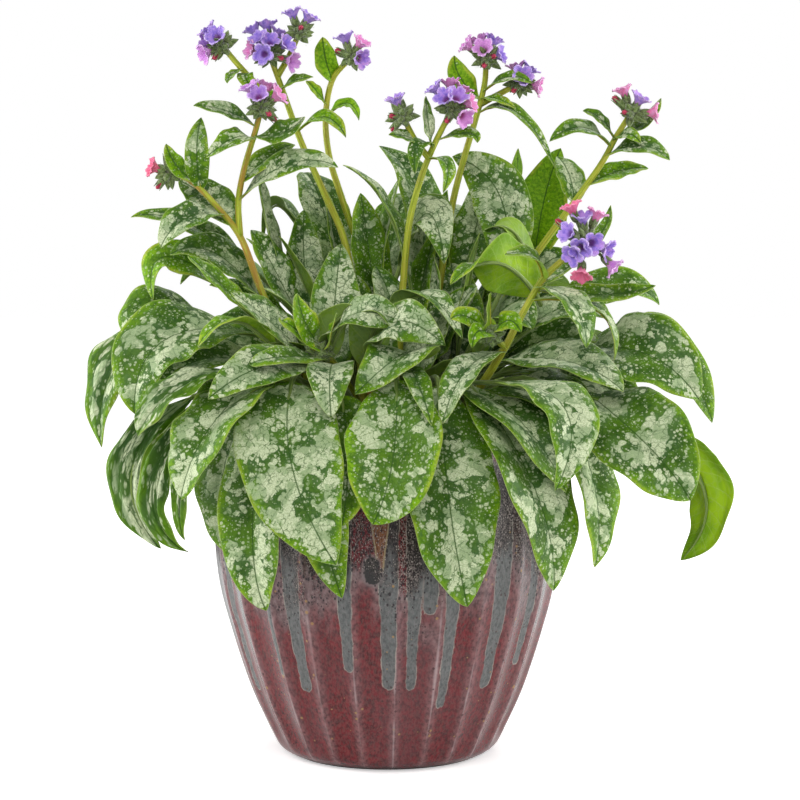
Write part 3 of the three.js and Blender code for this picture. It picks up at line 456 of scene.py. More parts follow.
wall = np.empty(len(drilled.vertices) * 3)
drilled.vertices.foreach_get("co", wall)
wall_x, wall_y, wall_z = (wall.reshape(-1, 3) / MM).T[..., None]
wall_turn = np.degrees(np.arctan2(wall_x, -wall_y))
reach = np.hypot(wall_x, wall_y)
on_outside = reach > np.interp(wall_z, *POT_OUTLINE.T[::-1]) - 5


def depth_within(angle, half, low, high):
    """How deep each point of the wall lies inside the nearest of some upright bands, in millimetres:
    the half width less the distance from the band's middle line, which ends at low and high."""
    aside = np.radians(np.mod(wall_turn - angle + 180, 360) - 180) * reach
    depth = half - np.hypot(aside, wall_z - np.clip(wall_z, low, high))
    return np.where(on_outside, depth, NOT_GLAZED).max(1)


run_angle, run_half, run_end = np.array(GLAZE_RUNS).T
run_half = np.radians(run_half) * RUN_RADIUS * (0.72 + 0.5 * smooth_step(wall_z, 50, 150))
drip_half = DRIP_HALF * (0.30 + 0.70 * smooth_step(wall_z, DRIP_LOW, DRIP_LOW + 44))
drip_ends = DRIP_LOW + 0.4 * DRIP_HALF, DRIP_HIGH - 0.4 * DRIP_HALF
crater_ends = CRATER_LOW + 0.4 * CRATER_HALF, CRATER_HIGH - 0.4 * CRATER_HALF
for label, values in (
    ("run_depth", depth_within(run_angle, run_half, run_end + run_half, np.inf)),
    ("drip_depth", depth_within(DRIP_ANGLE, drip_half, *drip_ends)),
    ("crater_depth", depth_within(CRATER_ANGLE, CRATER_HALF, *crater_ends)),
):
    kept_values = drilled.attributes.new(label, "FLOAT", "POINT").data
    kept_values.foreach_set("value", values.astype(np.float32))
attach(pot, "root")
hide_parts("pot")

# Soil: dark, moist potting compost with bits of bark. It is pressed in by hand to 24 mm below the lip,
# is loose and crumbed on top, and holds every petiole, shoot and stem.
SOIL_GAP = 0.35
SOIL_SIDE_HEIGHTS = np.array([14, 26, 60, 115, 205])
SOIL_BOTTOM_ROUNDING = [12, 2, 0, 0, 0]
SOIL_TOP_ROWS = 60
CRUMB_HEIGHT = 0.9


def waves(random, points, count, shortest, longest):
    """A sum of sine waves of random direction and length over flat points, each as high as its length
    is long, scaled to run from about -1 to 1."""
    length = np.exp(random.uniform(math.log(shortest), math.log(longest), count))
    heading = random.uniform(0, TURN, count)
    start = random.uniform(0, TURN, count)
    along = points[..., :1] * np.cos(heading) + points[..., 1:2] * np.sin(heading)
    return (np.sin(along * TURN / length + start) * length).sum(-1) / np.sqrt((length**2).sum() / 2)


soil_wall = np.interp(SOIL_SIDE_HEIGHTS, *POT_OUTLINE.T[::-1]) - POT_WALL - SOIL_GAP - 0.6
soil_sides = np.stack([soil_wall - SOIL_BOTTOM_ROUNDING, np.minimum(SOIL_SIDE_HEIGHTS, SOIL_TOP - 1.5)], -1)
soil_top = layers((SOIL_TOP_ROWS,), np.linspace(soil_wall[-1] - 0.8, 2, SOIL_TOP_ROWS), SOIL_TOP - 0.6)
soil_profile = np.vstack([[[3, 12.4], [50, 12.4]], soil_sides, soil_top])
soil_rings = turned_rings(soil_profile[:, :1], soil_profile[:, 1:], full_turn(180))
crumbs = waves(np.random.default_rng(5), soil_rings[..., :2], 40, 4, 26)[-SOIL_TOP_ROWS:]
soil_rings[-SOIL_TOP_ROWS:, :, 2] += np.clip(crumbs * CRUMB_HEIGHT, -2.5, 1.6)
compost, tree, shader = new_material("potting_compost", Roughness=0.95, Specular_IOR_Level=0.2)
place = read(tree, "TexCoord", "Object")
grain = read(tree, "TexVoronoi", "Distance", Vector=place, Scale=330.0)
crumb = effect(mottling, place, Scale=140.0, Fineness=6.0, Contrast=0.2)
earth = mix(crumb, (0.012, 0.007, 0.004), (0.085, 0.050, 0.028))
bark = read(tree, "SeparateColor", "Red", Color=grain.beside("Color"))
earth = mix(step(bark, 0.88, 0.9, 0.0, 0.7), earth, (0.16, 0.085, 0.04))
crumbly = read(tree, "Bump", "Normal", Height=crumb - grain * 0.6, Strength=0.9, Distance=0.002)
dress(shader, Base_Color=earth, Normal=crumbly)
soil = mesh_object("soil_filling", *skin(soil_rings), [compost])
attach(soil, "root")
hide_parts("soil")

# Leaves of the skirt: large oval blades on their own petioles, grown from the crown and hanging over the
# rim. Each is a thin quilted sheet, folded at its midrib, dark green with silver blotches and pale dots.
SKIRT_RINGS = [47, 60]
# Ring of the crown, width and roll; base, middle and tip of the midrib; how silver and how yellow it is,
# its yellow partly a painted glow of light shining through the leaf from behind
SKIRT_LEAVES = {
    "front": [
        (0, 64, 0, -58, -97, 250, -56, -136, 200, -30, -140, 143, 0.72, 0.45),
        (1, 36, 0, -44, -103, 240, -41, -114, 176, -27, -116, 119, 0.62, 0.5),
        (1, 38, 0, -28, -106, 242, -23, -124, 206, -27, -122, 164, 0.3, 0.7),
        (1, 58, 0, 6, -108, 252, 4, -143, 206, -8, -144, 168, 0.66, 0.65),
        (1, 62, 0, 32, -100, 247, 38, -128, 178, 49, -130, 116, 0.7, 0.4),
        (1, 56, 0, 52, -94, 247, 89, -134, 188, 101, -131, 126, 0.62, 0.3),
        (0, 42, 0, 66, -102, 250, 106, -148, 237, 100, -158, 190, 0.66, 0.35),
        (1, 38, 0, 106, -92, 240, 126, -116, 188, 127, -116, 138, 0.58, 0.45),
    ],
    "right": [
        (0, 60, 45, 118, -78, 246, 157, -118, 214, 184, -124, 180, 0.53, 0.35),
        (1, 38, -62, 168, -40, 222, 202, -54, 176, 186, -60, 134, 0.1, 0.95),
        (0, 58, 42, 118, -46, 264, 160, -76, 266, 193, -88, 238, 0.55, 0.3),
        (0, 50, 28, 126, -8, 268, 174, -28, 268, 207, -44, 220, 0.3, 0.45),
        (0, 46, 18, 62, -50, 256, 108, -84, 262, 144, -112, 245, 0.8, 0.2),
    ],
    "left": [
        (1, 44, 0, -71, -86, 246, -81, -118, 165, -73, -120, 112, 0.64, 0.35),
        (1, 44, 0, -84, -66, 239, -102, -80, 188, -99, -82, 141, 0.45, 0.35),
        (0, 52, 0, -76, -84, 250, -106, -130, 224, -123, -138, 182, 0.62, 0.45),
        (1, 20, 0, -104, -62, 240, -124, -96, 192, -124, -102, 153, 0.82, 0.1),
        (1, 32, -40, -124, -36, 236, -161, -58, 192, -142, -70, 143, 0.8, 0.15),
        (1, 22, -25, -120, -52, 234, -145, -84, 180, -123, -92, 144, 0.82, 0.1),
        (0, 58, -30, -82, -46, 276, -138, -76, 274, -155, -94, 230, 0.51, 0.35),
        (0, 34, -10, -90, -76, 256, -128, -114, 245, -150, -124, 219, 0.7, 0.2),
        (0, 40, -25, -120, 22, 284, -158, 12, 292, -170, 4, 268, 0.45, 0.45),
        (0, 44, -30, -122, -14, 266, -170, -30, 260, -182, -42, 204, 0.5, 0.35),
    ],
}
# The leaves of the far side stand in turns high and low: way out, height and width
BACK_TURNS = np.radians(np.linspace(22, 160, 7))
BACK_HIGH = [104, 150, 176], [262, 262, 208], 56
BACK_LOW = [106, 140, 150], [244, 218, 158], 54
SKIRT_LEAVES["back"] = []
for k, turn in enumerate(BACK_TURNS):
    out, rise, width = BACK_LOW if k % 2 else BACK_HIGH
    knots = [c for r, z in zip(out, rise) for c in (r * math.cos(turn), r * math.sin(turn), z)]
    SKIRT_LEAVES["back"].append((k % 2, width, 0, *knots, 0.55, 0.35))
# How crumpled the wilting leaves low on the left are
WILTED = {
    "leaf_left_4": 2.4, "leaf_left_5": 2.8, "leaf_left_6": 2.8, "leaf_left_8": 2.2, "leaf_left_10": 2.0,
    "leaf_right_2": 1.6,
}
FOOT_DROP = 11
PETIOLE_RADIUS = 1.7
RIB_RADIUS = 1.0
RIB_GROOVE = 0.2
VEIN_SPACING = 8.5
SHEET_THICKNESS = 0.48
# Heights across a blade, as shares of its half width and in millimetres
FOLD_SHARE, SWELL_SHARE, WAVE_SHARE, WAVE_HEIGHT = 0.22, 0.07, 0.05, 0.25
QUILT_HEIGHT, QUILT_REACH, CREASE_HEIGHT = 0.45, 1.8, 0.9
SKIRT_NETTING = 0.1
SKIRT_GRID = 64, 27


def unit(vector):
    """Vectors of length one."""
    return vector / np.linalg.norm(vector, axis=-1, keepdims=True)


def way_along(points):
    """Length of a line up to each of its points."""
    return np.concatenate([[0], np.cumsum(np.linalg.norm(np.diff(points, axis=0), axis=1))])


def outward(side, over, turns):
    """Directions at angles between two that are square to each other."""
    return side * np.cos(turns)[..., None] + over * np.sin(turns)[..., None]


def own_place(random):
    """Where a piece's pattern starts, so that no two pieces are alike."""
    return random.uniform(-900, 900, 3)


def blade_path(base, middle, tip, u):
    """Quadratic curve that passes the base, the middle and the tip at shares 0, 1/2 and 1: points and
    directions at the shares u."""
    u = u[:, None]
    control = 2 * middle - (base + tip) / 2
    point = (1 - u) ** 2 * base + 2 * u * (1 - u) * control + u**2 * tip
    return point, unit((1 - u) * (control - base) + u * (tip - control))


def stalk_path(foot, base, out, u):
    """Cubic curve that leaves the foot upright and meets the blade along its midrib."""
    u = u[:, None]
    reach = np.linalg.norm(base - foot)
    p0, p1, p2, p3 = foot, foot + [0, 0, 0.5 * reach], base - 0.35 * reach * out, base
    point = (1 - u) ** 3 * p0 + 3 * u * (1 - u) ** 2 * p1 + 3 * u**2 * (1 - u) * p2 + u**3 * p3
    return point, unit((1 - u) ** 2 * (p1 - p0) + 2 * u * (1 - u) * (p2 - p1) + u**2 * (p3 - p2))


def across_and_up(tangent, level, turn):
    """Two directions across a leaf at each point: level made square to the midrib, and the one square to
    both, turned round the midrib by the roll."""
    side = unit(level - (tangent @ level)[:, None] * tangent)
    up = np.cross(tangent, side)
    return outward(side, up, turn), outward(up, -side, turn)


def part_of(rings, material, place, marks, tone):
    """One surface of a plant piece with what its material reads: a place on the tissue in millimetres,
    four marks, and three numbers that are the same all over the leaf or flower."""
    points, faces = skin(rings)
    place = np.broadcast_to(place, rings.shape).reshape(-1, 3)
    marks = np.broadcast_to(marks, (*rings.shape[:2], 4)).reshape(-1, 4)
    return points, faces, material, place, marks, np.broadcast_to([*tone, 1.0], (len(points), 4))


def both_faces(upper, lower):
    """Values on the upper face of a sheet, and then those on the lower one on the way back."""
    return np.concatenate([upper, lower[:, ::-1]], 1)


def leaf_parts(knots, width, roll, foot, tone, seed, grid, ripple=1.0, drop=0.0):
    """A leaf. Half width of the blade at share u is 2.49·u^0.55·(1−u)^0.8 of its widest. Across, it rises
    from the midrib like the root of a square, swells in a half sine wave on each side, is quilted between
    the side veins by a bell curve round each, and ripples at its edges. The petiole and the rib are one
    tapering cord that shows below the blade."""
    random = np.random.default_rng(seed)
    base, middle, tip = np.reshape(knots, (3, 3)).astype(float)
    aim = unit((tip - (base if foot is None else foot)) * [1, 1, 0])
    level = np.array([-aim[1], aim[0], 0])
    rows, columns = grid
    u = np.linspace(0, 1, rows) ** 1.3
    point, tangent = blade_path(base, middle, tip, u)
    side, up = across_and_up(tangent, level, math.radians(roll) * np.minimum(1, 3 * u))
    u, along = u[:, None], way_along(point)[:, None]
    v = np.linspace(1, -1, columns)
    v = 0.35 * np.sin(v * np.pi / 2) + 0.65 * v
    wave_count = random.uniform(2.2, 3.6)
    wave_start = random.uniform(0, TURN, 2)
    half = np.maximum(2.49 * u**0.55 * (1 - u) ** 0.8 * width / 2, 1.2 * np.sqrt(1 - u) + 0.12)
    outline = 1 + 0.025 * np.sin(18 * u + wave_start) * np.minimum(1, 6 * u)
    half_here = half * np.where(v > 0, outline[:, :1], outline[:, 1:])
    across = half_here * v
    opening = np.minimum(1, 4 * u)
    fold = FOLD_SHARE * half * opening * (np.sqrt(v**2 + 0.01) - 0.1) / 0.905
    swell = SWELL_SHARE * half * opening * np.sin(np.pi * np.abs(v)) * ripple
    beat = np.sin(TURN * wave_count * u + np.where(v > 0, *wave_start))
    edge_wave = ripple * (WAVE_SHARE * half + WAVE_HEIGHT) * np.abs(v) ** 3 * beat * opening
    slant = 0.85 * np.abs(across) - 0.006 * across**2
    vein_phase = (along - slant) / VEIN_SPACING + random.uniform(0, 1) + np.where(v > 0, 0.0, 0.45)
    from_vein = np.abs(np.mod(vein_phase + 0.5, 1) - 0.5) * VEIN_SPACING
    quilt = QUILT_HEIGHT * (1 - np.exp(-((from_vein / QUILT_REACH) ** 2))) * (1 - v**6)
    quilt = quilt * np.minimum(1, half / 12)
    creases = CREASE_HEIGHT * max(0, ripple - 1) * np.sin(TURN * (1.7 * v + 0.8 * u) + wave_start[0])
    height = fold + swell + edge_wave + quilt + creases * opening * (1 - u**4)
    thin = (SHEET_THICKNESS / 2 - 0.1 * v**8)[:, None]
    sheet = point[:, None] + side[:, None] * across[..., None] + up[:, None] * height[..., None]
    edge = half_here * (1 - np.abs(v))
    drawn = 1 / (1 + 1.6 * max(0, ripple - 1))
    tissue = layers(across.shape, across, along * drawn, 0) + own_place(random)
    lifted = up[:, None] * thin
    marks = both_faces(*(layers(across.shape, edge, vein_phase, face, across) for face in (1, 0)))
    sheet_faces = both_faces(sheet + lifted, sheet - lifted)
    blade = part_of(sheet_faces, 0, both_faces(tissue, tissue), marks, tone)

    rib_u = np.linspace(0, 0.97, max(8, rows // 3))
    rib_point, rib_tangent = blade_path(base, middle, tip, rib_u)
    rib_turn = math.radians(roll) * np.minimum(1, 3 * rib_u)
    thick = (RIB_RADIUS if foot is None else PETIOLE_RADIUS) * (0.86 * (1 - rib_u) ** 0.9 + 0.14)
    thick *= np.minimum(1, width / 40) ** 0.3
    sink = thick * 0.6 * np.minimum(1, 5 * rib_u)
    if foot is not None:
        stalk_point, stalk_tangent = stalk_path(foot, base, tangent[0], np.linspace(0, 1, 14)[:-1])
        if drop > 0:
            stalk_point = np.vstack([foot - [0, 0, drop], stalk_point])
            stalk_tangent = np.vstack([[0, 0, 1], stalk_tangent])
        below = np.zeros(len(stalk_point))
        rib_point = np.vstack([stalk_point, rib_point])
        rib_tangent = np.vstack([stalk_tangent, rib_tangent])
        rib_turn, sink = (np.concatenate([below, values]) for values in (rib_turn, sink))
        thick = np.concatenate([below + thick[0], thick])
    rib_side, rib_up = across_and_up(rib_tangent, level, rib_turn)
    around = full_turn(10)
    groove = 1 - RIB_GROOVE * np.maximum(0, np.sin(around)) ** 2
    ring = outward(rib_side[:, None], rib_up[:, None], around) * groove[:, None] * thick[:, None, None]
    rings = (rib_point - rib_up * sink[:, None])[:, None] + ring
    rib_along = way_along(rib_point)[:, None]
    place = layers(rings.shape[:2], around * 1.5, rib_along, 0) + own_place(random)
    marks = layers(rings.shape[:2], rib_along / rib_along[-1], 0, 0, 0)
    return [blade, part_of(rings, 1, place, marks, tone)]


def plant_piece(name, parts, materials, node):
    """All surfaces of one piece in one mesh, with their place, marks and tone kept on its points."""
    points, faces, material, *kept = zip(*parts)
    starts = np.cumsum([0, *map(len, points)])
    corners = [[corner + start for corner in face] for part, start in zip(faces, starts) for face in part]
    piece = mesh_object(name, np.vstack(points), corners, materials)
    face_material = np.repeat(material, [len(part) for part in faces])
    piece.data.polygons.foreach_set("material_index", face_material.astype(np.int32))
    kinds = ("FLOAT_VECTOR", "vector"), ("FLOAT_COLOR", "color"), ("FLOAT_COLOR", "color")
    for label, (kind, key), values in zip(("tissue_place", "tissue_marks", "tissue_tone"), kinds, kept):
        data = piece.data.attributes.new(label, kind, "POINT").data
        data.foreach_set(key, np.vstack(values).astype(np.float32).ravel())
    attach(piece, "root")
    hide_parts(node)


def tissue_inputs(tree):
    """What every plant material reads from its piece: place, four marks, three tones."""
    marks = attribute(tree, "tissue_marks", "Color")
    mark = read(tree, "SeparateColor", "Red", Color=marks)
    tone = read(tree, "SeparateColor", "Red", Color=attribute(tree, "tissue_tone", "Color"))
    marks = [mark, mark.beside("Green"), mark.beside("Blue"), marks.beside("Alpha")]
    return attribute(tree, "tissue_place", "Vector"), marks, [tone, tone.beside("Green"), tone.beside("Blue")]


# Down, shared by all green tissue and the petals: fine soft grain laid over a relief
downy_skin, (place, scale, relief, strength), result = effect_group(
    "downy_skin", "Normal", Scale=3.0, Relief=0.0, Strength=0.4
)
down = relief + noise(place, scale, 2.0, 0.5) * 0.3
dress(result, Normal=read(downy_skin, "Bump", "Normal", Height=down, Strength=strength, Distance=0.0005))

leaf_blade, tree, shader = new_material(
    "lungwort_blade", Specular_IOR_Level=0.14, Sheen_Weight=0.03, Sheen_Roughness=0.35
)
place, (edge, vein_phase, upper_face, across), (silver_share, yellow_and_backlit_share, netted) = tissue_inputs(tree)
margin_wander = effect(mottling, place, Scale=0.16, Fineness=2.0, Contrast=0.5)
margin = step(edge - margin_wander * 5.0, -3.5, 6.0, 1.0, 0.0)
narrow_margin = step(edge, 0.6, 3.2, 1.0, 0.0)
# Side veins at whole numbers of the vein phase, a fine net between them, and the midrib
vein = step(calculate("PINGPONG", vein_phase, 0.5) * VEIN_SPACING, 0.1, 0.6, 1.0, 0.0)
crooked = read(tree, "TexNoise", "Color", Vector=place, Scale=0.35, Detail=2.0)
crooked = read(
    tree, "VectorMath", "Vector", {"operation": "MULTIPLY_ADD"}, at_0=crooked, at_1=(2.6, 2.6, 0), at_2=place
)
cell_edge = {"feature": "DISTANCE_TO_EDGE"}
net = read(tree, "TexVoronoi", "Distance", cell_edge, Vector=crooked, Scale=0.30)
net_line = step(net, 0.02, netted * 0.07 + 0.09, 1.0, 0.0)
rib_line = step(calculate("ABSOLUTE", across), 0.25, 0.7, 1.0, 0.0)
# Silver: spots of four sizes. Where the cover is full the two larger ones grow until they run together to
# blotches with scalloped edges, and towards the margin only the small round ones are left.
cover = effect(mottling, place, Scale=0.048, Fineness=2.0, Contrast=0.35) - 1.18
cover = cover + netted * 0.08 + silver_share * 1.5 - margin * 0.55
size = step(cover, -0.25, 0.75, 0.0, 0.90)
large = effect(spotting, crooked, Scale=0.125, Size=size, Kept=1.0, Softness=0.07)
size = step(cover, -0.5, 0.8, 0.08, 0.85)
medium = effect(spotting, crooked, Scale=0.27, Size=size, Kept=0.5, Softness=0.09)
size = step(narrow_margin, 0.0, 1.0, 0.34, 0.22)
small = effect(spotting, place, Scale=0.42, Size=size, Kept=0.5, Softness=0.10)
fine = effect(spotting, place, Scale=0.8, Size=0.30, Kept=0.42, Softness=0.12)
blotch = calculate("MAXIMUM", large, medium)
dots = calculate("MAXIMUM", small, fine * 0.75) * step(silver_share, -0.05, 0.10, 0.0, 0.9)
# The green shows through the silver in a broken net along the small veins, and through its thin places
gaps = effect(mottling, place, Scale=0.22, Fineness=3.0, Contrast=0.8)
net_start = 0.52 - netted * 0.42
net_seen = net_line * step(gaps, net_start, net_start + 0.30) * silver_share
thin_places = effect(mottling, place, Scale=0.09, Fineness=3.0, Contrast=0.7)
keep = (1.0 - net_seen) * (1.0 - vein * 0.30) * step(thin_places, 0.0, 0.5, 0.72, 1.0)
silver = calculate("MULTIPLY", calculate("MAXIMUM", blotch, dots), keep, clamp=True)
# Green, paler towards the margin and in yellower leaves. The yellow tone is partly the leaf's own
# younger colour and partly a painted glow of light shining through leaves lit from behind
patchy = effect(mottling, place, Scale=0.05, Fineness=3.0, Contrast=0.6)
fleck = effect(mottling, place, Scale=0.5, Fineness=3.0, Contrast=0.6)
green = mix(patchy, (0.016, 0.062, 0.003), (0.075, 0.175, 0.006))
green = mix(fleck * 0.3, green, (0.065, 0.145, 0.010))
green = mix(step(cover, -0.35, 0.45) * 0.60, green, (0.060, 0.120, 0.052))
fresh_and_backlit_green = mix(fleck, (0.110, 0.270, 0.003), (0.215, 0.410, 0.008))
margin_tint = margin * 0.95 + yellow_and_backlit_share * 0.35
# Brighter yellow-green by the margin and the yellow tone: partly fresh green, partly painted glow of light
# through the leaf from behind
green = mix(calculate("MULTIPLY", margin_tint, yellow_and_backlit_share * 0.9 + 0.25, clamp=True), green, fresh_and_backlit_green)
gold = mix(patchy, (0.19, 0.33, 0.012), (0.36, 0.46, 0.035))
gilt = calculate("MULTIPLY", narrow_margin * yellow_and_backlit_share, step(patchy, 0.3, 0.9, 0.1, 1.2), clamp=True)
green = mix(gilt, green, gold)
green = mix(net_line * 0.25, green, (0.014, 0.050, 0.003))
silver_fine = effect(mottling, place, Scale=1.3, Fineness=3.0, Contrast=0.4)
silver_colour = mix(silver_fine, (0.34, 0.41, 0.24), (0.64, 0.69, 0.46))
silver_colour = mix(step(thin_places, 0.1, 0.6, 0.5, 0.0), silver_colour, (0.24, 0.36, 0.16))
silver_colour = mix(yellow_and_backlit_share * 0.35, silver_colour, (0.46, 0.59, 0.30))
face = mix(rib_line * 0.8, mix(silver, green, silver_colour), (0.030, 0.085, 0.008))
# Underside: paler and yellower, its vivid yellow-green partly a painted glow of light shining through
# the leaf from behind, its veins standing out light, the silver just visible through it
under = mix(patchy, (0.15, 0.31, 0.002), (0.31, 0.50, 0.008))
under = mix(silver_share * 0.7, under, (0.175, 0.275, 0.07))
under = mix(blotch * 0.25, under, (0.27, 0.37, 0.19))
under = mix(net_line * 0.2, under, (0.30, 0.42, 0.12))
under = mix(vein * 0.4, under, (0.34, 0.48, 0.09))
surface = mix(upper_face, under, face)
relief = vein * -0.5 - net_line * 0.35 - rib_line * 0.6
dress(
    shader,
    Base_Color=mix(step(edge, 0.12, 0.45, 0.7, 0.0), surface, (0.36, 0.46, 0.13)),
    Roughness=step(silver_fine, 0.0, 1.0, 0.42, 0.60),
    Normal=effect(downy_skin, place, Scale=3.2, Relief=relief, Strength=0.5),
)

# Streaks, shared by the stalks and the stems: noise drawn out along them
streaking, (place, across, along), result = effect_group("streaking", "Value", Across=1.0, Along=0.1)
drawn_out = read(streaking, "CombineXYZ", "Vector", X=across, Y=along, Z=across)
drawn_out = read(streaking, "VectorMath", "Vector", {"operation": "MULTIPLY"}, at_0=place, at_1=drawn_out)
dress(result, Value=step(noise(drawn_out, 1.0, 4, 0.6), 0.3, 0.7))

leaf_stalk, tree, shader = new_material(
    "hairy_stalk", Roughness=0.55, Specular_IOR_Level=0.35, Sheen_Weight=0.3, Sheen_Roughness=0.4
)
place, (up_share, *_), _ = tissue_inputs(tree)
streaks = effect(streaking, place, Across=1.2, Along=0.08)
stalk_green = mix(streaks, (0.11, 0.19, 0.03), (0.29, 0.38, 0.10))
dress(
    shader,
    Base_Color=mix(step(up_share, 0.0, 0.35, 0.55, 0.0), stalk_green, (0.15, 0.07, 0.03)),
    Normal=effect(downy_skin, place, Scale=3.0, Relief=streaks, Strength=0.4),
)

seed = 100
for side, leaves in SKIRT_LEAVES.items():
    for k, (ring, width, roll, *knots, silver_tone, yellow_and_backlit_tone) in enumerate(leaves):
        name = f"leaf_{side}_{k + 1}"
        facing = math.atan2(knots[1], knots[0])
        radius = SKIRT_RINGS[ring]
        foot = np.array([radius * math.cos(facing), radius * math.sin(facing), SOIL_TOP])
        leaf = leaf_parts(
            knots, width, roll, foot, (silver_tone, yellow_and_backlit_tone, SKIRT_NETTING), seed, SKIRT_GRID,
            WILTED.get(name, 1.0), FOOT_DROP,
        )
        plant_piece(name + "_blade", leaf, [leaf_blade, leaf_stalk], name)
        seed += 1

# Rosettes: seven short shoots pressed into the soil, each with the upright inner leaves that spring from
# it. These are younger and narrower than the skirt's, with finer and denser silver. The last four to ten
# of each are deep in the plant, and fill the dark between the others.
SHOOT_HEIGHTS = np.array([-11, -6, 0, 5, 9, 10.8, 11.4])
SHOOT_RADII = np.array([5, 5, 4.6, 4.3, 4.0, 3.0, 1.2])
SHOOT_TONE = 0.5, 0.3, 0.5
ROSETTE_NETTING = 0.85
ROSETTE_GRID = 48, 21
ROSETTE_RIPPLE = 0.8
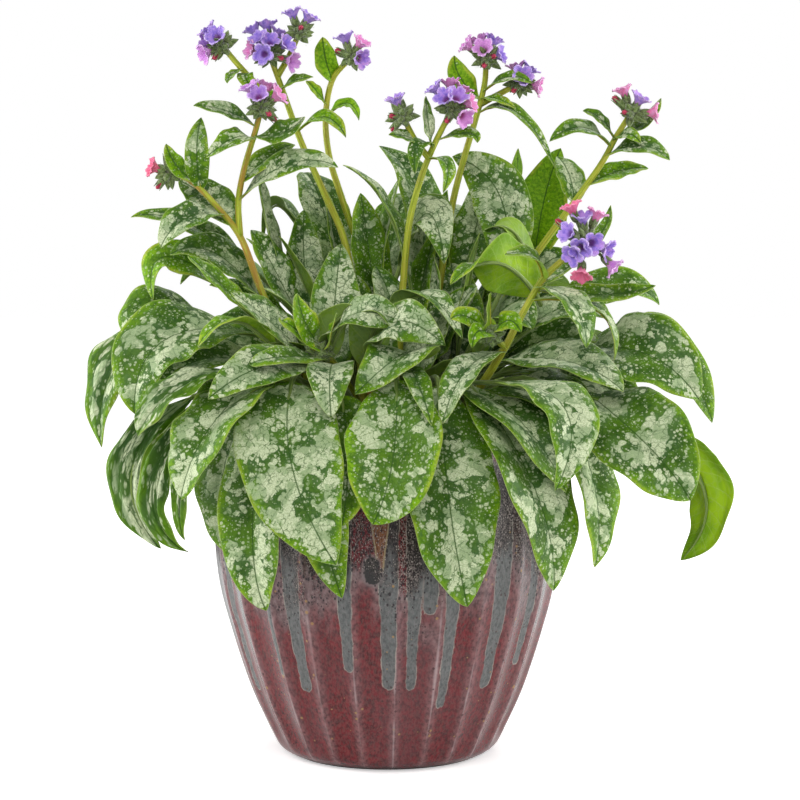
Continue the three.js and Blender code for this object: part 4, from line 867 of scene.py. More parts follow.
# Place of the shoot; then base, middle and tip of the midrib, width and roll, how silver and how yellow,
# the yellow partly a painted glow of light shining through the leaf from behind
ROSETTES = {
    "front_left": ((-20, -24), [
        (-36, -32, 248, -34, -28, 292, -30, -2, 333, 35, 0, 0.8, 0.15),
        (-46, -50, 256, -72, -66, 284, -97, -72, 304, 34, -45, 0.8, 0.2),
        (-42, -62, 256, -30, -76, 288, -3, -82, 291, 22, 0, 0.8, 0.1),
        (-46, -84, 258, -75, -112, 260, -107, -130, 242, 34, -35, 0.75, 0.25),
        (-80, -38, 282, -107, -43, 309, -126, -44, 326, 22, -30, 0.45, 0.6),
        (-70, -62, 268, -94, -88, 287, -115, -102, 272, 24, 0, 0.1, 0.95),
        (-34, -34, 238, -52, -52, 262, -74, -70, 272, 38, 0, 0.6, 0.3),
        (-30, -28, 240, -52, -36, 280, -78, -48, 306, 34, -15, 0.55, 0.3),
        (-60, -62, 246, -96, -98, 240, -122, -120, 198, 52, 0, 0.5, 0.25),
        (-66, -32, 244, -108, -58, 262, -146, -80, 242, 48, -20, 0.45, 0.25),
        (-36, -72, 262, -20, -93, 291, 14, -98, 284, 30, 50, 0.85, 0.1),
    ]),
    "front": ((4, -40), [
        (-14, -66, 258, -2, -88, 288, 21, -96, 276, 32, 0, 0.85, 0.1),
        (14, -74, 262, 8, -104, 266, -19, -119, 244, 44, 0, 0.6, 0.35),
        (4, -44, 276, 22, -58, 302, 47, -74, 275, 32, 0, 0.85, 0.1),
        (12, -96, 260, 19, -126, 251, 27, -150, 228, 16, 0, 0.75, 0.2),
        (22, -48, 236, 40, -62, 256, 62, -76, 258, 34, 0, 0.6, 0.25),
        (-2, -58, 244, -6, -52, 278, -12, -30, 302, 31, 0, 0.75, 0.2),
        (46, -72, 244, 80, -116, 228, 108, -134, 186, 62, 0, 0.55, 0.25),
        (-8, -80, 262, 7, -103, 287, 36, -108, 273, 32, 55, 0.8, 0.15),
        (16, -46, 240, 28, -44, 274, 40, -30, 298, 34, 20, 0.7, 0.2),
    ]),
    "left": ((-36, -2), [
        (-46, 0, 262, -54, 6, 312, -55, 25, 355, 32, 0, 0.75, 0.2),
        (-78, -8, 290, -110, -12, 326, -140, -14, 326, 34, -35, 0.65, 0.2),
        (-96, 14, 296, -144, 12, 324, -153, 6, 296, 26, -50, 0.1, 1.0),
        (-84, 12, 312, -130, 14, 345, -168, 12, 350, 22, -30, 0.5, 0.4),
        (-64, 2, 300, -79, 4, 350, -84, 8, 384, 26, 0, 0.75, 0.2),
        (-54, -8, 276, -74, -12, 318, -88, -14, 342, 28, -50, 0.7, 0.2),
        (-64, -14, 252, -94, -22, 268, -122, -30, 254, 42, -25, 0.55, 0.25),
        (-46, -10, 240, -66, -22, 280, -92, -34, 306, 38, -15, 0.6, 0.25),
        (-40, 8, 250, -52, 4, 300, -70, -6, 338, 34, 0, 0.5, 0.4),
        (-54, -4, 236, -88, -10, 262, -124, -16, 262, 44, -20, 0.45, 0.4),
        (-50, 6, 250, -84, 6, 292, -116, 2, 306, 34, -20, 0.2, 0.75),
    ]),
    "middle": ((2, 6), [
        (16, 6, 300, 0, 10, 356, -29, 14, 384, 24, 0, 0.6, 0.4),
        (8, 18, 318, 26, 8, 352, 37, -10, 320, 32, 50, 0.8, 0.15),
        (-46, 34, 320, -72, 34, 358, -82, 22, 330, 28, 0, 0.75, 0.2),
        (-8, 28, 290, -13, 32, 330, -18, 38, 366, 30, 0, 0.4, 0.4),
        (10, -6, 244, 4, 2, 288, -8, 18, 318, 36, 0, 0.75, 0.15),
        (24, -6, 240, 40, -10, 280, 58, -14, 306, 38, 45, 0.65, 0.25),
        (30, -10, 244, 34, -4, 290, 30, 12, 326, 34, 0, 0.7, 0.2),
        (-8, 6, 250, -24, 10, 296, -38, 22, 328, 34, -20, 0.6, 0.3),
        (14, 22, 250, 22, 26, 300, 32, 24, 340, 36, 0, 0.2, 0.6),
    ]),
    "right": ((38, -4), [
        (78, 8, 318, 73, 22, 366, 43, 34, 390, 38, 0, 0.72, 0.3),
        (96, -26, 300, 68, -44, 322, 40, -56, 308, 38, 50, 0.2, 0.85),
        (92, -4, 312, 82, -14, 340, 62, -24, 342, 28, 0, 0.7, 0.2),
        (104, 20, 280, 150, 26, 304, 180, 26, 292, 36, 35, 0.35, 0.5),
        (50, 30, 300, 60, 42, 346, 70, 52, 380, 32, 0, 0.6, 0.3),
        (76, -28, 266, 112, -32, 292, 142, -34, 286, 40, 30, 0.6, 0.25),
        (58, -30, 262, 76, -44, 288, 92, -56, 280, 40, 20, 0.65, 0.2),
        (48, -8, 236, 62, -16, 268, 84, -26, 284, 42, 15, 0.6, 0.25),
        (50, 6, 240, 74, 4, 284, 104, -4, 306, 42, 20, 0.55, 0.3),
        (44, 8, 250, 52, 6, 300, 60, -2, 340, 38, 0, 0.65, 0.25),
        (64, -20, 232, 92, -36, 254, 124, -50, 250, 46, 20, 0.55, 0.25),
        (82, -38, 240, 122, -66, 250, 158, -84, 226, 54, 25, 0.5, 0.25),
        (60, -52, 238, 96, -84, 242, 128, -104, 220, 50, 15, 0.55, 0.2),
        (66, 8, 250, 102, 12, 284, 140, 8, 290, 46, 30, 0.6, 0.25),
        (60, 18, 262, 92, 28, 308, 122, 32, 326, 40, 30, 0.55, 0.3),
        (64, -6, 244, 100, -16, 270, 138, -26, 268, 46, 30, 0.6, 0.25),
        (40, 8, 244, 44, 16, 288, 42, 32, 320, 40, 0, 0.65, 0.25),
    ]),
    "back_right": ((28, 36), [
        (78, 50, 320, 86, 56, 366, 88, 62, 396, 26, 0, -0.2, 1.6),
        (98, 44, 310, 104, 52, 356, 116, 52, 396, 38, 60, -0.2, 1.6),
        (40, 78, 300, 50, 112, 350, 56, 140, 350, 42, 0, 0.6, 0.3),
        (76, 76, 288, 104, 106, 306, 118, 124, 282, 44, 0, 0.55, 0.35),
        (22, 56, 310, 20, 66, 366, -6, 80, 398, 36, 0, 0.7, 0.2),
        (52, 40, 260, 72, 44, 310, 96, 40, 346, 40, 0, 0.2, 0.7),
        (34, 44, 260, 36, 48, 320, 40, 44, 368, 38, 0, 0.5, 0.4),
        (40, 36, 250, 76, 30, 290, 116, 24, 310, 42, 20, 0.5, 0.35),
        (26, 50, 236, 30, 70, 274, 34, 94, 290, 50, 0, 0.45, 0.3),
        (56, 46, 238, 82, 66, 270, 108, 86, 270, 50, 0, 0.45, 0.3),
        (64, 36, 244, 102, 48, 276, 142, 56, 268, 48, 20, 0.45, 0.35),
    ]),
    "back_left": ((-18, 34), [
        (-34, 58, 310, -46, 76, 360, -58, 98, 380, 36, 0, 0.7, 0.3),
        (-74, 54, 290, -110, 70, 318, -142, 80, 304, 40, 0, 0.4, 0.5),
        (-20, 86, 300, -26, 126, 324, -30, 156, 300, 44, 0, 0.6, 0.3),
        (-52, 84, 286, -76, 118, 300, -92, 138, 274, 44, 0, 0.55, 0.35),
        (-4, 62, 300, 6, 84, 346, 12, 108, 366, 36, 0, 0.6, 0.3),
        (-26, 40, 260, -34, 44, 320, -44, 42, 372, 38, 0, 0.55, 0.35),
        (-34, 36, 250, -62, 40, 300, -94, 36, 336, 40, 0, 0.2, 0.7),
        (-10, 38, 270, -2, 44, 330, 8, 42, 376, 34, 0, 0.5, 0.4),
        (-8, 50, 236, -4, 72, 274, 0, 96, 290, 50, 0, 0.45, 0.3),
        (-36, 48, 236, -56, 70, 270, -76, 92, 274, 50, 0, 0.45, 0.3),
        (-48, 38, 242, -86, 48, 276, -124, 56, 274, 48, -20, 0.45, 0.35),
    ]),
}

for order, (name, ((foot_x, foot_y), leaves)) in enumerate(ROSETTES.items()):
    around = full_turn(16)
    shoot = layers(
        (len(SHOOT_HEIGHTS), 16), foot_x + np.outer(SHOOT_RADII, np.cos(around)),
        foot_y + np.outer(SHOOT_RADII, np.sin(around)), SOIL_TOP + SHOOT_HEIGHTS[:, None],
    )
    parts = [part_of(shoot, 1, shoot, np.zeros(4), SHOOT_TONE)]
    for k, (*knots, width, roll, silver_tone, yellow_and_backlit_tone) in enumerate(leaves):
        out = unit(np.array([knots[0] - foot_x, knots[1] - foot_y, 0.0])) * 2
        tone = silver_tone, yellow_and_backlit_tone, ROSETTE_NETTING
        foot = np.array([foot_x, foot_y, SOIL_TOP + 5.8]) + out
        seed = 300 + order * 20 + k
        parts += leaf_parts(knots, width, roll, foot, tone, seed, ROSETTE_GRID, ROSETTE_RIPPLE)
    plant_piece(f"rosette_{name}_leaves", parts, [leaf_blade, leaf_stalk], "rosette_" + name)

# Flowering stems: ribbed, hairy and yellow-green, risen from the crown and leafy to the top, where they
# branch into the flower heads. Soft hairs stand out from them all round.
STEM_RADIUS = 2.8
BRANCH_SHARE = 0.75
STEM_TOP_SHARE = 0.65
CORE_RADIUS = 3.35
STEM_RIBS, STEM_RIB_HEIGHT = 5, 0.06
STEM_HAIRS_PER_MM = 3.0
BRACT_NETTING = 0.6
BRACT_GRID = 30, 15
BRACT_RIPPLE = 0.7
FLUSHED_STEM = "left"
# Of each stem its ways, the first of which rises from the soil while the others leave it on the way up;
# its leaves, by way and height on it, middle and tip of the midrib, width and roll, how silver and how
# yellow, the yellow partly a painted glow of light shining through the leaf from behind; its heads, by
# name, way, finish, middle, open flowers with a hue from pink 0 to violet 1, and buds; and the closed buds
# at its tip
STEMS = {
    "left": ([
        [(-34, -14), (-56, -20, 255), (-80, -25, 302), (-94, -25, 338), (-106, -25, 354), (-126, -24, 374)],
        [(-94, -25, 338), (-95, -25, 360), (-91, -25, 382), (-84, -25, 405)],
    ], [
        (1, 361, -62, -30, 384, -31, -32, 382, 24, 42, 0.8, 0.2),
        (1, 372, -74, -12, 390, -60, 0, 397, 20, 20, 0.55, 0.6),
        (0, 368, -121, -30, 392, -119, -18, 414, 16, 0, 0.6, 0.3),
        (0, 352, -128, -36, 349, -143, -44, 331, 28, -30, 0.75, 0.2),
        (0, 344, -116, -8, 362, -136, 4, 374, 28, -35, 0.75, 0.2),
        (1, 408, -104, -28, 418, -123, -30, 421, 17, -35, 0.7, 0.15),
        (1, 400, -97, -34, 400, -114, -40, 388, 20, -30, 0.65, 0.35),
        (1, 402, -66, -30, 404, -52, -32, 414, 21, 45, 0.7, 0.15),
        (0, 372, -135, -28, 384, -141, -26, 397, 13, -60, 0.35, 0.8),
    ], [
        ("far_left", 0, "pink", (-140, -20, 379),
         [(-12, -4, 4, 0.0)],
         [(-1, -3, 12), (3, -5, -11), (-7, -5, -10)]),
        ("left_low", 1, "pink", (-80, -25, 420),
         [(-8, -4, 15, 0.6), (4, 2, 16, 0.3), (13, -4, 9, 0.25), (-2, -12, 9, 0.7)],
         [(6, -11, -5), (-10, -6, -5), (9, 3, -8)]),
    ], []),
    "back_left": ([
        [(-15, 4), (-19, 8, 270), (-28, 15, 334), (-42, 20, 367), (-56, 20, 398), (-69, 20, 434)],
        [(-66, 20, 426), (-84, 20, 436), (-98, 20, 450)],
        [(-72, 20, 442), (-64, 22, 456)],
    ], [
        (0, 434, -62, 12, 438, -48, 6, 441, 15, 35, 0.5, 0.3),
        (0, 426, -76, 12, 428, -86, 8, 420, 12, -40, 0.15, 0.8),
        (1, 444, -92, 10, 440, -86, 4, 430, 11, 20, 0.5, 0.4),
        (0, 406, -41, 13, 415, -27, 10, 402, 16, 30, 0.06, 1.2),
        (1, 447, -101, 12, 443, -104, 6, 437, 9, 0, 0.4, 0.4),
    ], [
        ("top_left", 1, "violet", (-108, 20, 462),
         [(-11, -2, 12, 0.9), (-4, -12, 7, 0.85), (-15, 1, 2, 0.7), (-13, -7, -6, 0.55)],
         [(-5, -8, -9), (11, -3, 4)]),
        ("top", 0, "violet", (-77, 20, 456),
         [
             (-12, 2, 19, 0.95), (-2, 3, 22, 0.9), (7, 0, 17, 0.9), (-8, -9, 12, 1.0), (-14, -7, 4, 0.3),
             (1, -12, 10, 0.95), (13, -9, 8, 0.85), (-4, -16, 0, 0.95), (17, -10, -5, 0.55),
         ],
         [(9, -12, -3), (-10, -6, -6)]),
        ("top_small", 2, "violet", (-58, 23, 470),
         [(-5, 0, 16, 0.95), (8, -2, 13, 0.85)],
         [(2, -10, 4), (10, 0, 1)]),
    ], []),
    "back": ([
        [(6, 28), (-6, 45, 290), (-31, 46, 364), (-39, 44, 391), (-41, 40, 418), (-36, 40, 442)],
    ], [
        (0, 416, -27, 40, 425, -19, 38, 414, 13, 30, -0.1, 1.5),
        (0, 440, -41, 36, 455, -43, 42, 469, 15, -75, -0.2, 1.6),
        (0, 424, -48, 36, 434, -54, 36, 440, 10, -50, -0.1, 1.3),
    ], [
        ("back", 0, "pink", (-24, 38, 456),
         [(-5, 0, 15, 0.9), (8, -4, 11, 0.3), (8, -10, -2, 0.75)],
         [(-10, -5, 4), (4, -7, -10)]),
    ], []),
    "middle": ([
        [(8, -10), (8, -8, 270), (11, -6, 315), (15, -5, 350), (22, -5, 376), (30, -6, 396)],
        [(27, -6, 388), (18, -7, 400)],
    ], [
        (1, 398, 12, -12, 402, 1, -15, 403, 13, -40, 0.6, 0.2),
        (0, 396, 20, -16, 396, 18, -18, 378, 13, -20, 0.7, 0.1),
        (0, 400, 52, -12, 404, 58, -14, 398, 11, 40, 0.5, 0.4),
        (0, 394, 26, -12, 412, 25, -8, 428, 11, -70, 0.7, 0.1),
        (0, 388, 38, -12, 384, 36, -16, 366, 14, 0, 0.4, 0.5),
    ], [
        ("middle_small", 1, "violet", (10, -8, 415),
         [(-5, -3, 13, 0.8)],
         [(-8, -8, 0), (7, -3, 8), (-7, -2, -9)]),
        ("middle", 0, "violet", (42, -8, 420),
         [
             (-13, -2, 15, 0.9), (-2, 2, 19, 0.35), (8, 0, 15, 0.3), (-6, -12, 8, 0.85), (4, -11, 9, 0.7),
             (14, -5, 4, 0.2), (9, -11, -7, 0.45),
         ],
         [(-4, -11, -9), (-12, -5, 0)]),
    ], []),
    "back_right": ([
        [(22, 16), (32, 15, 290), (43, 18, 360), (51, 20, 391), (59, 22, 418), (64, 25, 438)],
        [(61, 25, 424), (72, 25, 430)],
    ], [
        (0, 427, 48, 22, 441, 44, 26, 456, 16, -75, -0.2, 1.6),
        (0, 432, 79, 14, 441, 94, 10, 437, 13, 35, 0.55, 0.3),
        (0, 428, 72, 16, 427, 84, 14, 421, 10, 30, 0.1, 0.9),
        (0, 418, 85, 18, 418, 110, 14, 382, 15, 25, 0.6, 0.3),
    ], [
        ("right_high", 0, "pink", (65, 25, 454),
         [(-15, -2, 10, 0.4), (-6, 3, 14, 0.45), (6, 2, 14, 0.9), (11, -4, 3, 0.95), (-3, -12, 7, 0.5)],
         [(5, -11, 1), (-10, -4, -5), (-2, -11, -6)]),
        ("right_small", 1, "violet", (87, 24, 438),
         [(-3, 0, 13, 0.5), (8, -1, 11, 0.95), (14, -3, -3, 0.3), (2, -12, 5, 0.8)],
         [(-5, -9, -6), (8, -8, -7)]),
    ], []),
    "right": ([
        [(38, 12), (62, 14, 270), (92, 13, 318), (128, 11, 368), (141, 10, 387), (149, 10, 402)],
    ], [
        (0, 402, 169, 20, 412, 180, 24, 428, 13, 20, 0.6, 0.3),
        (0, 401, 138, 6, 414, 127, 4, 419, 12, -45, 0.6, 0.3),
        (0, 400, 156, 0, 404, 164, -4, 398, 11, 40, 0.5, 0.4),
        (0, 396, 126, 2, 408, 105, -4, 399, 18, -35, 0.6, 0.3),
        (0, 390, 165, 2, 396, 183, -2, 387, 20, 35, 0.7, 0.25),
        (0, 370, 152, 20, 380, 172, 26, 382, 18, 35, 0.1, 0.95),
        (0, 360, 119, 20, 378, 112, 30, 390, 22, 0, 0.55, 0.3),
    ], [
        ("right", 0, "pink", (159, 10, 418),
         [(-6, -1, 17, 0.15), (7, -3, 11, 0.75), (17, -3, 0, 0.1)],
         [(-12, -3, 10), (10, -7, -7), (-6, -10, 0)]),
    ], []),
    "front_right": ([
        [(40, -46), (58, -76, 245), (73, -90, 271), (86, -91, 296), (97, -91, 314), (110, -90, 326)],
        [(73, -90, 271), (66, -98, 277), (63, -102, 280)],
    ], [
        (0, 308, 128, -68, 332, 140, -62, 358, 18, 0, 0.45, 0.35),
        (0, 306, 136, -86, 303, 165, -94, 309, 17, 40, 0.4, 0.4),
        (0, 313, 89, -100, 327, 72, -104, 328, 20, -30, 0.5, 0.35),
        (0, 308, 113, -112, 298, 121, -118, 272, 30, 0, 0.7, 0.25),
        (0, 300, 129, -96, 294, 139, -106, 264, 22, 0, 0.65, 0.3),
        (0, 268, 48, -124, 258, 34, -140, 228, 27, 0, 0.85, 0.1),
        (1, 276, 50, -108, 290, 39, -110, 289, 14, -65, 0.3, 0.85),
        (1, 279, 63, -107, 293, 64, -102, 305, 14, 85, 0.3, 0.9),
        (1, 278, 74, -108, 288, 82, -110, 281, 14, 60, 0.3, 0.85),
        (1, 276, 56, -114, 282, 52, -116, 272, 12, -50, 0.3, 0.85),
    ], [
        ("front_right", 0, "violet", (122, -90, 336),
         [
             (-10, -2, 23, 0.05), (-2, -6, 17, 0.85), (8, -1, 19, 0.1), (-13, -11, 6, 1.0),
             (-5, -17, -5, 0.95), (5, -15, -1, 1.0), (15, -8, -6, 0.8), (19, -5, -17, 0.5),
             (-10, -17, -9, 0.95), (-4, -14, -22, 0.05),
         ],
         [(-18, -3, 13), (-17, -6, 5)]),
    ], [(-4, -6, 7), (4, -6, 7), (0, -9, 1)]),
    "front_left": ([
        [(-12, -38), (-31, -64, 256), (-46, -93, 272)],
    ], [
        (0, 262, -62, -112, 266, -83, -116, 262, 20, -30, 0.65, 0.3),
        (0, 264, -50, -94, 286, -55, -88, 304, 19, -80, 0.42, 0.9),
        (0, 264, -34, -98, 280, -30, -96, 292, 11, 80, 0.35, 0.9),
        (0, 262, -56, -96, 282, -66, -94, 288, 12, -60, 0.35, 0.9),
        (0, 258, -34, -122, 256, -33, -134, 231, 29, 0, 0.85, 0.15),
    ], [], [(-4, -8, 8), (4, -7, 7), (-8, -7, 1), (2, -9, -2)]),
}


def at_lengths(lengths, far, values):
    """Values along a line at given lengths of it."""
    return np.stack([np.interp(lengths, far, column) for column in values.T], -1)


def rooted_line(knots, count):
    """A smooth line through knots that are unevenly spaced: a Catmull-Rom line whose knots are as far
    apart in time as the root of their distance, sampled evenly by length."""
    knots = np.array(knots, float)
    padded = np.vstack([2 * knots[0] - knots[1], knots, 2 * knots[-1] - knots[-2]])
    gap = np.linalg.norm(np.diff(padded, axis=0), axis=1) ** 0.5
    samples = []
    for k in range(len(knots) - 1):
        p0, p1, p2, p3 = padded[k : k + 4]
        d0, d1, d2 = gap[k : k + 3]
        slope_start = ((p1 - p0) / d0 - (p2 - p0) / (d0 + d1) + (p2 - p1) / d1) * d1
        slope_end = ((p2 - p1) / d1 - (p3 - p1) / (d1 + d2) + (p3 - p2) / d2) * d1
        samples.append(hermite(p1, p2, slope_start, slope_end, np.linspace(0, 1, 40)[:, None])[(k > 0) :])
    line = np.vstack(samples)
    far = way_along(line)
    return at_lengths(np.linspace(0, far[-1], count), far, line)


def steady_frames(line):
    """Direction of a line at each point and two square to it: the front's, freed of what lies along the
    line, and the one square to both."""
    tangent = unit(np.gradient(line, axis=0))
    front = np.array([0.0, -1.0, 0.0])
    side = unit(front - (tangent @ front)[:, None] * tangent)
    return tangent, side, np.cross(tangent, side)


def cord_part(line, thickness, tone, seed, sides=15):
    """A round cord along a line with shallow ribs along it, its marks holding the share of its length
    and how deep in a groove a point is."""
    _, side, over = steady_frames(line)
    around = full_turn(sides)
    wide = thickness[:, None] * (1 + STEM_RIB_HEIGHT * np.cos(STEM_RIBS * around + 0.4))
    rings = line[:, None] + outward(side[:, None], over[:, None], around) * wide[..., None]
    far = way_along(line)[:, None]
    place = layers(rings.shape[:2], np.cos(around) * 3, far, np.sin(around) * 3)
    marks = layers(rings.shape[:2], far / far[-1], np.abs(np.sin(around * STEM_RIBS / 2)), 0, 0)
    return part_of(rings, 1, place + own_place(np.random.default_rng(seed)), marks, tone)


def stem_line(points, first, head_centre):
    """A stem's way: the first stands upright in the soil, and a head ends its way."""
    knots = list(points)
    if first:
        x, y = knots.pop(0)
        knots = [[x, y, SOIL_TOP], [x, y, SOIL_TOP + 12], *knots]
    if head_centre is not None:
        centre = np.array(head_centre, float)
        knots.append(centre + unit(knots[-1] - centre) * CORE_RADIUS)
    return rooted_line(knots, 60 if first else 26)


def hair_part(roots, directions, lengths, thickness):
    """Straight hairs, each a three-sided spike from its root."""
    helper = np.where(np.abs(directions[:, 2:]) > 0.9, [[1.0, 0, 0]], [[0, 0, 1.0]])
    side = unit(np.cross(directions, helper))
    ring = outward(side[:, None], np.cross(directions, side)[:, None], full_turn(3))
    tip = (roots + directions * lengths[:, None])[:, None]
    points = np.concatenate([roots[:, None] + ring * thickness, tip], 1).reshape(-1, 3)
    first = np.arange(len(roots))[:, None] * 4
    faces = np.concatenate([first + face for face in ([0, 2, 1], [0, 1, 3], [1, 2, 3], [2, 0, 3])])
    blank = np.zeros((len(points), 4))
    return points, faces.tolist(), 2, points, blank, blank + [0, 0, 0, 1]


def hairs_on_cord(line, thickness, per_mm, random):
    """Hairs that stand out all round a cord, leaning to its top a little."""
    far = way_along(line)
    count = int(far[-1] * per_mm)
    spot = random.uniform(0, far[-1], count)
    turns = random.uniform(0, TURN, count)
    tangent, side, over = (at_lengths(spot, far, values) for values in steady_frames(line))
    out = outward(side, over, turns)
    wide = np.interp(spot, far, thickness)[:, None]
    lean = unit(out + tangent * random.uniform(-0.1, 0.5, (count, 1)))
    roots = at_lengths(spot, far, line) + out * wide * 0.97
    return hair_part(roots, lean, random.uniform(0.7, 1.6, count), 0.055)


stem_skin, tree, shader = new_material(
    "flower_stem", Roughness=0.5, Specular_IOR_Level=0.3, Sheen_Weight=0.12, Sheen_Roughness=0.35
)
place, (_, groove, *_), (tint, *_) = tissue_inputs(tree)
streaks = effect(streaking, place, Across=0.9, Along=0.05)
flush = effect(streaking, place, Across=0.2, Along=0.03)
stem_green = mix(streaks, (0.20, 0.27, 0.006), (0.52, 0.56, 0.05))
stem_green = mix(groove * 0.25, stem_green, (0.17, 0.27, 0.01))
dress(
    shader,
    Base_Color=mix(step(flush, 0.25, 0.85) * tint, stem_green, (0.38, 0.17, 0.03)),
    Normal=effect(downy_skin, place, Scale=2.5, Relief=streaks, Strength=0.4),
)

pale_hair, tree, shader = new_material("pale_hair", Roughness=0.4, Specular_IOR_Level=0.5)
place = attribute(tree, "tissue_place", "Vector")
hair_tint = effect(mottling, place, Scale=0.4, Fineness=2.0, Contrast=0.3)
dress(shader, Base_Color=mix(hair_tint, (0.50, 0.55, 0.40), (0.80, 0.82, 0.70)))

# Flowers: funnels of five rounded lobes on a tube, pink when they open and violet-blue later, each out of
# a hairy five-toothed calyx. Their short stalks spring from one point at the end of a stem, and buds and
# closed calyces crowd the middle of each head.
LOBE_COUNT = 5
CALYX_RADIUS = 2.75
PETAL_THICKNESS = 0.3
FOLDED = 2.0
GOLDEN_ANGLE = 2.39996
# The funnel from its throat to its rim: shares, then radius and way back from the flower's end, in the
# notches between the lobes and at the lobes' middles
FUNNEL_SHARES = [0, 0.25, 0.52, 0.76, 1.0]
NOTCH_RADII, LOBE_RADII = [0.6, 1.9, 3.0, 4.6, 5.0], [0.6, 1.9, 3.0, 5.4, 7.4]
NOTCH_WAYS = [-8.5, -6.6, -4.2, -2.0, -1.3]


def flower_frame(offset):
    """Along the flower, and two directions across it, the first as near upright as it can be."""
    length = np.linalg.norm(offset)
    axis = np.array(offset) / length
    side = np.array([0, 0, 1.0]) - axis[2] * axis
    if side @ side < 0.01:
        side = np.array([1.0, 0, 0]) - axis[0] * axis
    side = unit(side)
    return axis, length, side, np.cross(axis, side)


def turned_part(centre, offset, away, wide, material, marks, tone, seed):
    """Rings round a flower's axis: each point's way along the axis and its radius are given."""
    axis, _, side, over = flower_frame(offset)
    ring = outward(side, over, full_turn(wide.shape[1]))
    rings = np.array(centre) + axis * away[..., None] + ring * wide[..., None]
    return part_of(rings, material, rings + own_place(np.random.default_rng(seed)), marks, tone)


def corolla_part(centre, offset, hue, seed):
    """A funnel seen as rings from the bottom of its throat out over the lobes and back down its outside.
    The rim stands at 5 mm from the axis in the notches and at 7.4 mm at the middles of the lobes."""
    random = np.random.default_rng(seed)
    around = full_turn(50)
    lobe = np.abs(np.sin(LOBE_COUNT * around / 2)) ** 0.6
    wobble = 1 + 0.05 * np.sin(around + random.uniform(0, 6))
    wobble = wobble + 0.04 * np.sin(3 * around + random.uniform(0, 6))
    size = random.uniform(0.95, 1.08)
    share = np.array([0.0, 0.12, 0.25, 0.4, 0.52, 0.64, 0.76, 0.87, 0.95, 1.0])[:, None]
    neck, rim = (np.interp(share, FUNNEL_SHARES, radii) for radii in (NOTCH_RADII, LOBE_RADII))
    wide = (neck + (rim - neck) * lobe) * wobble * size
    cup = random.uniform(-0.3, 0.9)
    neck = np.interp(share, FUNNEL_SHARES, NOTCH_WAYS)
    rim = np.interp(share, [0, 0.25, 0.52, 0.76, 0.95, 1.0], [-8.5, -6.6, -4.2, -1.3, 0.0, -0.15 - cup])
    crinkle = 0.45 * np.sin(10 * around + random.uniform(0, 6))
    crinkle = crinkle + 0.22 * np.sin(17 * around + random.uniform(0, 6))
    away = np.linalg.norm(offset) + neck + (rim - neck) * lobe + crinkle * smooth_step(share, 0.5, 1)
    inner, outer = (layers(wide.shape, share, lobe, face, around) for face in (1, 0))
    sheet = PETAL_THICKNESS * (1 - 0.5 * share)
    all_wide = np.vstack([np.maximum(wide - sheet, 0.3), wide[::-1] + 0.02])
    all_away = np.vstack([away + sheet * 0.6, away[::-1] - sheet * 0.6])
    marks = np.concatenate([inner, outer[::-1]])
    return turned_part(centre, offset, all_away, all_wide, 0, marks, (hue, random.uniform(0, 1), 0.5), seed)


def calyx_part(centre, offset, start, end, radius, tone, seed):
    """A cup with five pointed teeth: rings up its outside to the teeth and down its inside."""
    around = full_turn(30)
    tooth = 1 - np.abs(np.mod(LOBE_COUNT * around / TURN, 1) * 2 - 1)
    share = np.array([0, 0.15, 0.35, 0.6, 0.8, 1.0])[:, None]
    wide = np.array([0.35, 0.62, 0.86, 0.98, 1.0, 0.94])[:, None] * radius
    wide = wide * (1 + 0.07 * np.cos(LOBE_COUNT * around - np.pi))
    away = start + (end - start) * share * (0.62 + 0.38 * tooth * share**2)
    marks = layers((12, 30), np.vstack([share, share[::-1]]), tooth, 0, 0)
    all_away = np.vstack([away, np.maximum(away[::-1] - 0.15, start + 0.3)])
    all_wide = np.vstack([wide, np.maximum(wide[::-1] - 0.35, 0.2)])
    return turned_part(centre, offset, all_away, all_wide, 1, marks, tone, seed)


def closed_calyx_part(centre, offset, length, seed):
    """A calyx whose teeth meet over the bud: a ribbed drop, widest at half its length."""
    random = np.random.default_rng(seed)
    around = full_turn(20)
    share = np.linspace(0, 1, 10)[:, None]
    bulge = np.interp(share, [0, 0.1, 0.3, 0.5, 0.72, 0.9, 1.0], [1.0, 1.3, 2.4, 2.5, 1.7, 0.75, 0.12])
    rib = 1 + 0.10 * np.cos(LOBE_COUNT * around) * smooth_step(share, 0.2, 0.6)
    marks = layers((10, 20), share, 0.5 + 0.5 * np.cos(LOBE_COUNT * around), 0, 0)
    tone = (random.uniform(0.1, 0.9), 0, 0)
    away = 1 + (length - 1) * share
    return turned_part(centre, offset, away, bulge * rib * random.uniform(0.88, 1.05), 1, marks, tone, seed)


def folded_bud_parts(centre, offset, length, seed):
    """A folded corolla, a twisted club of five folds, that stands out of its open calyx."""
    around = full_turn(20)
    share = np.linspace(0, 1, 9)[:, None]
    folds = LOBE_COUNT * around + 2.2 * share
    wide = 1.75 * np.interp(share, [0, 0.3, 0.6, 0.85, 0.95, 1], [0.6, 0.95, 1.0, 0.72, 0.45, 0.1])
    marks = layers(folds.shape, 0.7, 0.5, 0, folds / 35)
    folded = turned_part(
        centre, offset, length - 5.5 + 6.3 * share, wide * (1 + 0.10 * np.cos(folds)), 0, marks,
        (0.0, FOLDED, 0), seed + 1,
    )
    tone = (np.random.default_rng(seed).uniform(0.1, 0.9), 0, 0)
    return [folded, calyx_part(centre, offset, 0.8, length + 0.4, 2.5, tone, seed)]


def spread_directions(count, forward, widest, random):
    """Directions spread evenly over a cap round forward, by the golden angle."""
    k = np.arange(count) + 0.5
    lean = (np.sqrt(k / count) * widest)[:, None]
    spin = k * GOLDEN_ANGLE + random.uniform(0, 6)
    forward, _, side, over = flower_frame(forward)
    return forward * np.cos(lean) + outward(side, over, spin) * np.sin(lean)


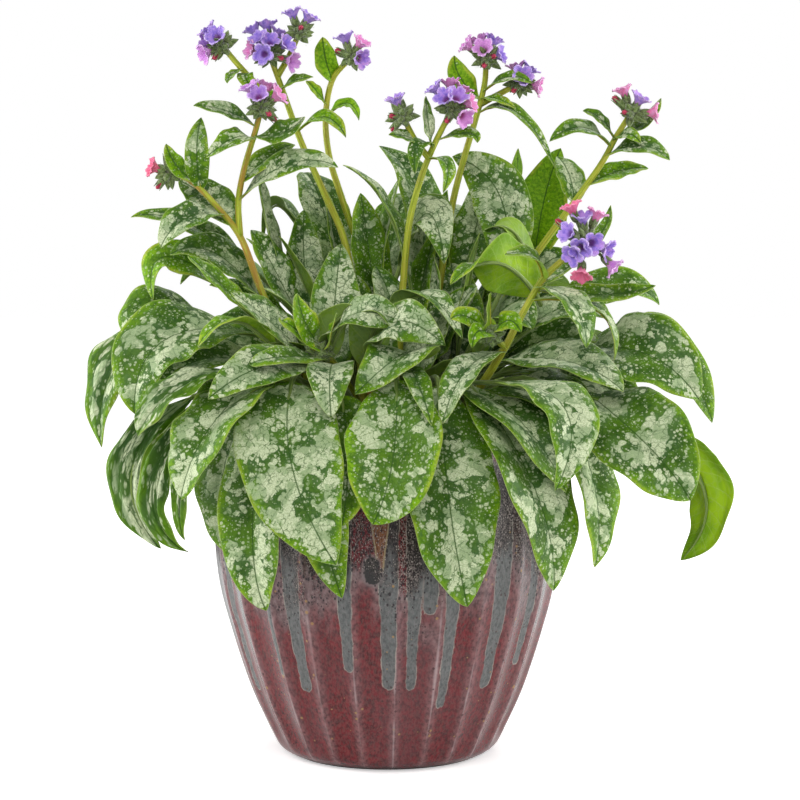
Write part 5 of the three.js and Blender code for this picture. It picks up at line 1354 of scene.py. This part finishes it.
def hairs_round_axis(centre, offset, start, end, wide, count, random):
    """Hairs on a calyx, standing out and forward."""
    axis, _, side, over = flower_frame(offset)
    out = outward(side, over, random.uniform(0, TURN, count))
    along = random.uniform(start, end, count)
    size = wide * np.interp(along, [start, (start + end) / 2, end], [0.75, 1.0, 0.85])
    roots = np.array(centre) + axis * along[:, None] + out * size[:, None] * 0.97
    return hair_part(roots, unit(out + axis * 0.5), random.uniform(0.6, 1.3, count), 0.05)


def cluster_parts(centre, forward, count, shortest, longest, random, seed, widest):
    """Closed calyces packed round the middle of a head, in a cap round forward, each with its hairs."""
    parts = []
    for k, way in enumerate(spread_directions(count, forward, widest, random)):
        length = random.uniform(shortest, longest)
        parts.append(closed_calyx_part(centre, way, length, seed + 7 * k))
        parts.append(hairs_round_axis(centre, way, 3, length, 2.1, 45, random))
    return parts


petal, tree, shader = new_material(
    "petal", Roughness=0.5, Specular_IOR_Level=0.3, Sheen_Weight=0.2, Sheen_Roughness=0.5
)
place, (out_share, _, inner_face, spin), (hue, variety, _) = tissue_inputs(tree)
soft = effect(mottling, place, Scale=0.35, Fineness=3.0, Contrast=0.3)
vein_wave = calculate("SINE", spin * 35)
petal_line = step(vein_wave + soft * 0.8, 0.7, 1.4)
violet = mix(soft, (0.22, 0.135, 0.60), (0.50, 0.36, 0.83))
pink = mix(soft, (0.80, 0.15, 0.38), (0.93, 0.42, 0.68))
mauve_pink = mix(soft, (0.56, 0.19, 0.58), (0.82, 0.41, 0.76))
colour = mix(step(hue, 0.45, 0.85), mix(step(hue, 0.15, 0.5), pink, mauve_pink), violet)
colour = mix(step(soft, 0.4, 1.0) * (variety * 0.5), colour, (0.70, 0.28, 0.66))
colour = mix(petal_line * 0.42, colour, (0.22, 0.05, 0.44))
colour = mix(step(out_share, 0.80, 1.0) * 0.38, colour, (0.78, 0.64, 0.88))
colour = mix(step(hue, 0.02, 0.12, 1.0, 0.0) * 0.85, colour, (0.78, 0.11, 0.20))
folded_red = mix(petal_line, (0.52, 0.035, 0.085), (0.16, 0.010, 0.030))
colour = mix(step(variety, 1.5, 1.9), colour, folded_red)
tube = mix(hue, (0.50, 0.05, 0.12), (0.15, 0.035, 0.24))
throat = step(out_share, 0.2, 0.58, 1.0, 0.0) * step(inner_face, 0.0, 1.0, 0.50, 0.92)
dress(
    shader,
    Base_Color=mix(throat, colour, tube),
    Normal=effect(downy_skin, place, Scale=2.5, Relief=vein_wave * 0.4, Strength=0.35),
)

calyx_skin, tree, shader = new_material(
    "hairy_calyx", Roughness=0.6, Specular_IOR_Level=0.3, Sheen_Weight=0.5, Sheen_Roughness=0.4
)
place, (out_share, tooth_mark, *_), (dusk, *_) = tissue_inputs(tree)
soft = effect(mottling, place, Scale=0.5, Fineness=3.0, Contrast=0.4)
calyx_green = mix(soft, (0.060, 0.110, 0.018), (0.205, 0.285, 0.085))
dark_share = dusk * step(out_share, 0.1, 0.8, 0.9, 0.25) * 0.75
calyx_green = mix(dark_share, calyx_green, (0.060, 0.032, 0.030))
dress(
    shader,
    Base_Color=mix(step(tooth_mark, 0.6, 1.0, 0.0, 0.6), calyx_green, (0.23, 0.31, 0.13)),
    Normal=effect(downy_skin, place, Scale=2.5, Relief=soft, Strength=0.5),
)

for order, (stem, (ways, leaves, heads, tip_buds)) in enumerate(STEMS.items()):
    random = np.random.default_rng(700 + order)
    centres = {way: centre for _, way, _, centre, _, _ in heads}
    lines = [stem_line(points, k == 0, centres.get(k)) for k, points in enumerate(ways)]
    tint = 0.75 if stem == FLUSHED_STEM else 0.25
    parts = []
    for k, line in enumerate(lines):
        start = STEM_RADIUS if k == 0 else STEM_RADIUS * BRANCH_SHARE
        thickness = np.linspace(start, STEM_RADIUS * STEM_TOP_SHARE, len(line))
        if k == 0:
            line = np.vstack([line[0] - [0, 0, FOOT_DROP], line])
            thickness = np.concatenate([[start], thickness])
        parts.append(cord_part(line, thickness, (tint, 0, 0), 720 + order * 10 + k))
        parts.append(hairs_on_cord(line[2:], thickness[2:], STEM_HAIRS_PER_MM, random))
    for k, (way, height, *knots, width, roll, silver_tone, yellow_and_backlit_tone) in enumerate(leaves):
        line = lines[way]
        climb = np.maximum.accumulate(line[:, 2])
        knots = [*at_lengths(height, climb, line), *knots]
        tone = silver_tone, yellow_and_backlit_tone, BRACT_NETTING
        seed = 800 + order * 20 + k
        parts += leaf_parts(knots, width, roll, None, tone, seed, BRACT_GRID, BRACT_RIPPLE)
    if tip_buds:
        centre = lines[-1][int(0.9 * (len(lines[-1]) - 1))]
        cluster = [
            closed_calyx_part(centre, offset, np.linalg.norm(offset), 900 + order * 20 + k)
            for k, offset in enumerate(tip_buds)
        ]
        cluster += cluster_parts(centre, (0, -0.8, 0.6), 28, 7, 11, random, 940 + order * 20, 1.9)
        parts += [(points, faces, 3, *rest) for points, faces, _, *rest in cluster]
    finishes = [leaf_blade, stem_skin, pale_hair, calyx_skin]
    plant_piece(f"stem_{stem}_leafy", parts, finishes, "stem_" + stem)
    for name, _, finish, centre, corollas, buds in heads:
        parts = []
        seed = 1000 + sum(map(ord, "flowers_" + name))
        for k, (*offset, hue) in enumerate(corollas):
            length = np.linalg.norm(offset)
            dusk = (random.uniform(0.4, 1.0), 0, 0)
            start = max(1.5, length - 12.5)
            parts.append(corolla_part(centre, offset, hue, seed + k))
            parts.append(calyx_part(centre, offset, start, length - 4.6, CALYX_RADIUS, dusk, seed + 50 + k))
            stalk = np.array(centre) + np.outer(np.linspace(0, start + 1, 5), unit(np.array(offset)))
            parts.append(cord_part(stalk, np.ones(5), dusk, seed + 90 + k, 8))
            parts.append(hairs_round_axis(centre, offset, start, length - 5.0, CALYX_RADIUS, 110, random))
        for k, offset in enumerate(buds):
            length = np.linalg.norm(offset)
            if k % 2 == 0:
                parts += folded_bud_parts(centre, offset, length, seed + 130 + 5 * k)
            else:
                parts.append(closed_calyx_part(centre, offset, length, seed + 130 + 5 * k))
            parts.append(hairs_round_axis(centre, offset, 2, length - 3, 2.4, 70, random))
        forward = np.mean([unit(np.array(offset)) for *offset, _ in corollas], 0) + [0, -0.3, 0]
        parts += cluster_parts(centre, forward, 15, 8.0, 12.5, random, seed + 300, 2.1)
        finishes = [petal, calyx_skin, pale_hair]
        plant_piece(f"flowers_{name}_bloom", parts, finishes, "flowers_" + name)
